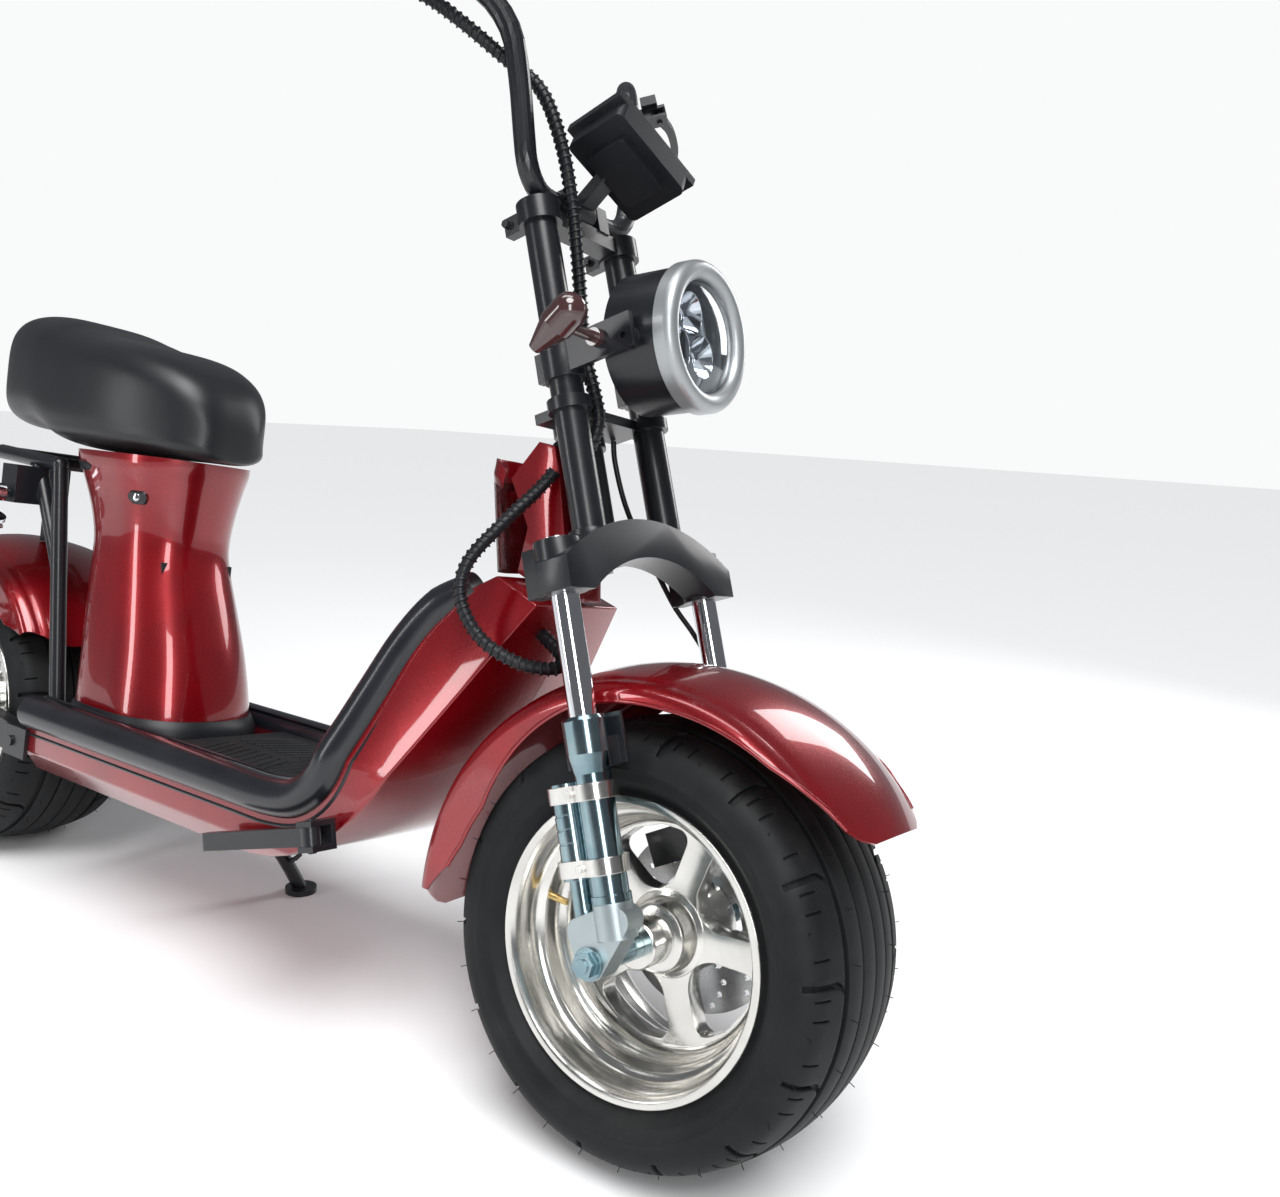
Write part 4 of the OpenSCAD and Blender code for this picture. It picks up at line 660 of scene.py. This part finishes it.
shell = softened("body_shell", body["edgeRound"], 24, 4)
finishPiece("bodyShellPressed", shell, surface["redPaint"], "frame", None, ["body_shell"], 35)
bm = bmesh.new()
for side in (-1, 1):
    line = besideRise(body["bumperAbove"], body["bumperInside"], side)
    full = len(line) - body["thinOver"]
    thinning = [mix(1.0, body["thinTo"], k / (body["thinOver"] - 1)) for k in range(body["thinOver"])]
    sizes = [body["bumperRadius"] * share for share in [1.0] * full + thinning]
    sweep(bm, line, 0, 24, side=(0, 1, 0.01), radii=sizes)
finishPiece("edgeBumper", bm, surface["bumperBlack"], "frame", upright, ["edge_trim"], 40)
bm = bmesh.new()
for side in (-1, 1):
    for height, inside, radius in body["beads"]:
        line = besideRise(height, inside, side, 8)
        sweep(bm, line, radius, 8, side=(0, 1, 0.01))
finishPiece("bumperBeads", bm, surface["bumperBlack"], "frame", upright, (), 40)
mat = softened("floor_mat", 0.0015, 30, 2)
finishPiece("ribbedMat", mat, surface["softRubber"], "frame", None, ["floor_mat"], 35)
bm = bmesh.new()
for k in range(matRibs["count"]):
    for sign in (-1, 1):
        x = matRibs["first"] + k * matRibs["pitch"]
        rod(bm, (x, sign * matRibs["inner"], matRibs["height"]),
            (x + matRibs["slant"], sign * matRibs["outer"], matRibs["height"]), matRibs["radius"], segments=8)
finishPiece("matRibs", bm, surface["softRubber"], "frame", upright, (), 40)
print("body made")

# Seat and seat box

seat = {
    "sections": [  # forwards, underside, top, half width
        (-0.156, 0.703, 0.728, 0.020), (-0.160, 0.699, 0.764, 0.042), (-0.176, 0.6965, 0.800, 0.062),
        (-0.206, 0.6955, 0.828, 0.084), (-0.260, 0.6960, 0.850, 0.108), (-0.320, 0.6955, 0.864, 0.124),
        (-0.390, 0.6955, 0.874, 0.131), (-0.450, 0.6980, 0.888, 0.133), (-0.510, 0.7180, 0.902, 0.134),
        (-0.590, 0.7190, 0.909, 0.123), (-0.640, 0.7300, 0.897, 0.097), (-0.656, 0.7480, 0.872, 0.060)],
    "upper": 0.66, "lower": 0.42, "across": 0.60, "segments": 72,
    "lipHeight": 0.712, "lipSpread": 0.020, "lipFade": 0.06, "lipOut": 0.0045,
    "creases": [((9, 12, 7), 0.0022), ((30, 8, 26), 0.0009)], "underShare": 0.2,   # scale of the noise, and depth
}
seatBox = {
    "levels": [  # height, front, rear, half width
        (0.2836, -0.128, -0.366, 0.110), (0.330, -0.133, -0.368, 0.108), (0.400, -0.150, -0.376, 0.101),
        (0.470, -0.176, -0.386, 0.093), (0.530, -0.199, -0.393, 0.086), (0.566, -0.206, -0.397, 0.084),
        (0.610, -0.202, -0.409, 0.088), (0.655, -0.194, -0.426, 0.097), (0.6785, -0.188, -0.436, 0.103),
        (0.6930, -0.186, -0.440, 0.104)],
    "front": 0.86, "rear": 0.42, "segments": 96,
    "foot": [(0.2834, -0.116, -0.374, 0.116), (0.296, -0.117, -0.374, 0.1155), (0.305, -0.1215, -0.373, 0.1125),
             (0.311, -0.127, -0.371, 0.110)],
    "patches": [  # name, finish, slot, height, half height, from and to degrees round the box, how far it stands out
        ("seatBoxSlot", "blackPlastic", "black_plastic", 0.668, 0.0075, 196, 262, 0.0016),
        ("seatBoxLock", "blackSatin", "black_satin", 0.630, 0.0100, 285, 303, 0.0035)],
    "keyway": {"level": (0.630, -0.199, -0.416, 0.092), "degrees": 294, "out": (0.0022, -0.0052, 0.0),
               "radius": 0.0058},
}


def loft(bm, levels, pointAt, segments):
    # rings of points drawn up one after another and closed at both ends
    ring = bmesh.ops.create_circle(bm, cap_ends=True, segments=segments, radius=1.0)["verts"]
    angleOf = {v: math.atan2(v.co.y, v.co.x) for v in ring}
    edges = list({e for v in ring for e in v.link_edges})
    for v in ring:
        v.co = pointAt(levels[0], angleOf[v])
    for level in levels[1:]:
        grown = bmesh.ops.extrude_edge_only(bm, edges=edges)["geom"]
        above = {}
        for v in [g for g in grown if isinstance(g, bmesh.types.BMVert)]:
            below = next(e.other_vert(v) for e in v.link_edges if e.other_vert(v) in angleOf)
            above[v] = angleOf[below]
        edges = [g for g in grown if isinstance(g, bmesh.types.BMEdge) and all(v in above for v in g.verts)]
        angleOf = above
        for v, angle in angleOf.items():
            v.co = pointAt(level, angle)
    bmesh.ops.contextual_create(bm, geom=edges)
    return bm


def power(value, exponent):
    return math.copysign(abs(value) ** exponent, value)


def seatPoint(level, angle):
    x, under, top, half = level
    c, q = math.cos(angle), math.sin(angle)
    middle, height = (under + top) / 2, (top - under) / 2
    y = half * power(c, seat["across"])
    z = middle + height * power(q, seat["upper"] if q > 0 else seat["lower"])
    lip = step(seat["lipSpread"], 0.0, abs(z - seat["lipHeight"]))
    y += math.copysign(seat["lipOut"] * lip * min(1, abs(y) / seat["lipFade"]), y)
    crease = sum(noise.noise(Vector((x, y, z)) * Vector(scale)) * depth for scale, depth in seat["creases"])
    return Vector((x, y, z + crease * (1 if q > 0 else seat["underShare"])))


def boxPoint(level, angle):
    z, front, rear, half = level
    c, s = math.cos(angle), math.sin(angle)
    exponent = seatBox["front"] if c > 0 else seatBox["rear"]
    return Vector(((front + rear) / 2 + (front - rear) / 2 * power(c, exponent), half * power(s, exponent), z))


bm = bmesh.new()
loft(bm, [tuple(v) for v in smoothLine(seat["sections"], 4)], seatPoint, seat["segments"])
cushion = finishPiece("seatCushion", bm, surface["seatVinyl"], "seat", upright, ["seat"], 60)
addModifier(cushion, "SUBSURF", levels=1, render_levels=1)
bm = bmesh.new()
levels = [tuple(v) for v in smoothLine(seatBox["levels"], 4)]
loft(bm, levels, boxPoint, seatBox["segments"])
finishPiece("seatBoxMoulded", bm, surface["redPaint"], "frame", upright, ["seat_box"], 40)
bm = bmesh.new()
loft(bm, seatBox["foot"], boxPoint, seatBox["segments"])
finishPiece("seatBoxFoot", bm, surface["blackPlastic"], "frame", upright, ["seat_box_skirt"], 40)
for name, finish, slot, height, halfTall, begin, end, out in seatBox["patches"]:
    bm = bmesh.new()
    bmesh.ops.create_grid(bm, x_segments=24, y_segments=6, size=1.0)
    for v in bm.verts:
        s, t = (v.co.x + 1) / 2, v.co.y
        tall = halfTall * math.sqrt(max(0.0, 1 - abs(2 * s - 1) ** 6))
        z = height + tall * t
        level = [reading([(row[0], row[k]) for row in seatBox["levels"]], z) for k in range(4)]
        angle = math.radians(mix(begin, end, s))
        skin = boxPoint(level, angle)
        level[1:] = [level[1] + out, level[2] - out, level[3] + out]
        v.co = mix(skin, boxPoint(level, angle), min(1, 4 * (1 - abs(t))))
    finishPiece(name, bm, surface[finish], "frame", upright, (), 50)
bm = bmesh.new()
keyway = seatBox["keyway"]
spot = boxPoint(keyway["level"], math.radians(keyway["degrees"]))
rod(bm, spot, spot + Vector(keyway["out"]), keyway["radius"], segments=24, bevel=0.001)
finishPiece("seatBoxKeyway", bm, surface["chromePlate"], "frame", upright)
print("seat made")

# Neck and its cover

cover = {"foot": (0.442, 0.0, 0.612), "lean": -12, "radius": 0.044, "wall": 0.003, "height": 0.138,
         "halfTurn": 82, "cornerDrop": 0.16, "topPull": 0.10, "columns": 36, "rows": 16}
bm = bmesh.new()
bmesh.ops.create_grid(bm, x_segments=cover["columns"], y_segments=cover["rows"], size=1.0)
for v in bm.verts:
    angle = math.radians(180 + v.co.x * cover["halfTurn"])
    top = cover["height"] * (1 - cover["cornerDrop"] * abs(v.co.x) ** 3)
    up = (v.co.y + 1) / 2
    radius = cover["radius"] * (1 - cover["topPull"] * step(0.85, 1.0, up))
    v.co = Vector((radius * math.cos(angle), radius * math.sin(angle), top * up))
bmesh.ops.solidify(bm, geom=bm.faces[:], thickness=cover["wall"])
finishPiece("neckCoverPressed", bm, surface["redPaint"], "frame",
            upright @ moved(*cover["foot"]) @ turned(cover["lean"], "Y"), ["neck_cover"], 45)
neck = softened("neck", 0.004, 30, 3)
finishPiece("neckWelded", neck, surface["redPaint"], "frame", None, ["neck"], 35)
yoke = softened("lower_yoke", 0.005, 32, 3)
finishPiece("lowerYokeCast", yoke, surface["blackSatin"], "steering", None, ["lower_yoke"], 35)
print("neck made")

# Wires in spiral wrap, and the brake hose

wires = {
    "wrapRadius": 0.0076, "ridge": 0.0014, "pitch": 0.0082, "hose": 0.0034,
    "upper": [(-2, -214, 1050), (6, -180, 1044), (16, -142, 1028), (32, -106, 1000), (60, -80, 955), (70, -70, 890),
              (64, -58, 820), (50, -46, 750), (40, -40, 700), (35, -40, 657), (40, -40, 605), (41, -42, 570),
              (28, -46, 545), (8, -50, 530)],
    "lower": [(-206, -47.9, 728), (-218, -58, 704), (-238, -92, 658), (-254, -122, 612), (-250, -130, 570),
              (-222, -120, 530), (-184, -94, 508), (-158, -62, 506), (-164, -44, 518), (-202, -40, 539.6)],
    "brake": [(-10, 60, 577), (-14, 62, 550), (-16, 72, 500), (-18, 98, 450), (-18, 126, 410), (-16, 148, 372),
              (-6, 166, 335), (4, 171, 300), (6, 171, 240), (4, 170, 190), (-4, 166, 155), (-24, 156, 128),
              (-40, 134, 108), (-35, 112, 96), (-28, 99, 89), (-25, 87, 85)],
}


def wrapped(bm, points, radius, ridge, pitch):
    # a tube with a strip wound round it
    line = smoothLine([Vector(p) * 0.001 for p in points], 8)
    sweep(bm, line, radius - ridge * 0.5, 12)
    frames = framesAlong(line)
    turns, gone = [], 0.0
    for k in range(len(line) - 1):
        length = (line[k + 1] - line[k]).length
        steps = max(2, round(length / pitch * 10))
        for i in range(steps):
            t = i / steps
            angle = math.tau * (gone + length * t) / pitch
            here = frames[k].lerp(frames[k + 1], t)
            turns.append(here @ Vector((radius * math.cos(angle), radius * math.sin(angle), 0)))
        gone += length
    sweep(bm, turns, ridge, 5)


for name, route, place, rides, node in (("upperWrap", wires["upper"], steer, "steering", "wiring_upper"),
                                        ("lowerWrap", wires["lower"], upright @ moved(0.7, 0, 0), "frame",
                                         "wiring_lower")):
    bm = bmesh.new()
    wrapped(bm, route, wires["wrapRadius"], wires["ridge"], wires["pitch"])
    finishPiece(name, bm, surface["blackPlastic"], rides, place, [node], 50)
bm = bmesh.new()
sweep(bm, smoothLine([Vector(p) * 0.001 for p in wires["brake"]], 10), wires["hose"], 14)
finishPiece("brakeHoseRun", bm, surface["blackPlastic"], "steering", steer, ["brake_hose"], 50)
print("wires made")

# Camera, floor and light

photoView = {"azimuth": 32.89, "elevation": -8.28, "roll": -9.38, "distance": 1.29384,
             "aim": (0.02964, 0.0, 0.36933), "lens": 32.0}
azimuth, elevation, roll = (math.radians(photoView[k]) for k in ("azimuth", "elevation", "roll"))
outward = Vector((math.sin(azimuth) * math.cos(elevation), -math.cos(azimuth) * math.cos(elevation),
                  math.sin(elevation)))
standsAt = Vector(photoView["aim"]) + photoView["distance"] * outward
right = (-outward).cross(Vector((0, 0, 1))).normalized()
above = right.cross(-outward)
cameraRight = math.cos(roll) * right + math.sin(roll) * above
cameraUp = -math.sin(roll) * right + math.cos(roll) * above
view = Matrix((cameraRight, cameraUp, outward)).transposed().to_4x4()
view.translation = standsAt
camera = bpy.data.objects.new("photoCamera", bpy.data.cameras.new("photoCamera"))
bpy.context.scene.collection.objects.link(camera)
camera.matrix_world = steer @ view
camera.data.lens = photoView["lens"]
camera.data.clip_start = 0.01
bpy.context.scene.camera = camera

studio = {
    "floor": (0.93, 0.935, 0.94),
    "seen": (0.95, 0.955, 0.96), "bounced": (0.14, 0.145, 0.155),   # the world in the view, and in reflections
    "sunStrength": 2.9, "sunAngle": 36, "sunFrom": (1.2, -1.5, 3.4),
    "lamps": [  # name, place, aim, size, strength
        ("keyLamp", (2.4, -2.2, 1.6), (0.1, -0.1, 0.5), (0.7, 1.8), 34.0),
        ("sideLamp", (-1.4, -2.8, 1.3), (-0.1, 0.0, 0.5), (0.4, 1.8), 20.0),
        ("topLamp", (0.2, -0.3, 2.8), (0.1, 0.0, 0.4), (1.6, 0.5), 12.0),
        ("backLamp", (0.9, 2.4, 1.8), (0.1, 0.0, 0.6), (0.8, 1.6), 22.0)],
}
bm = bmesh.new()
bmesh.ops.create_grid(bm, x_segments=8, y_segments=8, size=40.0)
floorMesh = bpy.data.meshes.new("studioFloor")
bm.to_mesh(floorMesh)
bm.free()
studioFloor = bpy.data.objects.new("studioFloor", floorMesh)
bpy.context.scene.collection.objects.link(studioFloor)
floorMesh.materials.append(makeFinish("paleFloor", dict(colour=studio["floor"], rough=0.7, bump=0.05)))
world = bpy.data.worlds.new("softWorld")
bpy.context.scene.world = world
world.use_nodes = True
tree = world.node_tree
background = tree.nodes["Background"]
seen = addNode(tree, "ShaderNodeLightPath").outputs["Is Camera Ray"]
tree.links.new(addMix(tree, seen, (*studio["bounced"], 1), (*studio["seen"], 1)), background.inputs["Color"])
sun = bpy.data.lights.new("softSun", "SUN")
sun.energy = studio["sunStrength"]
sun.angle = math.radians(studio["sunAngle"])
sunHolder = bpy.data.objects.new("softSun", sun)
bpy.context.scene.collection.objects.link(sunHolder)
sunHolder.matrix_world = Vector(studio["sunFrom"]).to_track_quat("Z", "Y").to_matrix().to_4x4()
for name, place, aim, size, strength in studio["lamps"]:
    lamp = bpy.data.lights.new(name, "AREA")
    lamp.shape = "RECTANGLE"
    lamp.size, lamp.size_y = size
    lamp.energy = strength
    holder = bpy.data.objects.new(name, lamp)
    bpy.context.scene.collection.objects.link(holder)
    facing = (Vector(place) - Vector(aim)).to_track_quat("Z", "Y").to_matrix().to_4x4()
    holder.matrix_world = moved(*place) @ facing
bpy.context.scene.view_settings.view_transform = "Standard"
print("camera, floor and lights set")
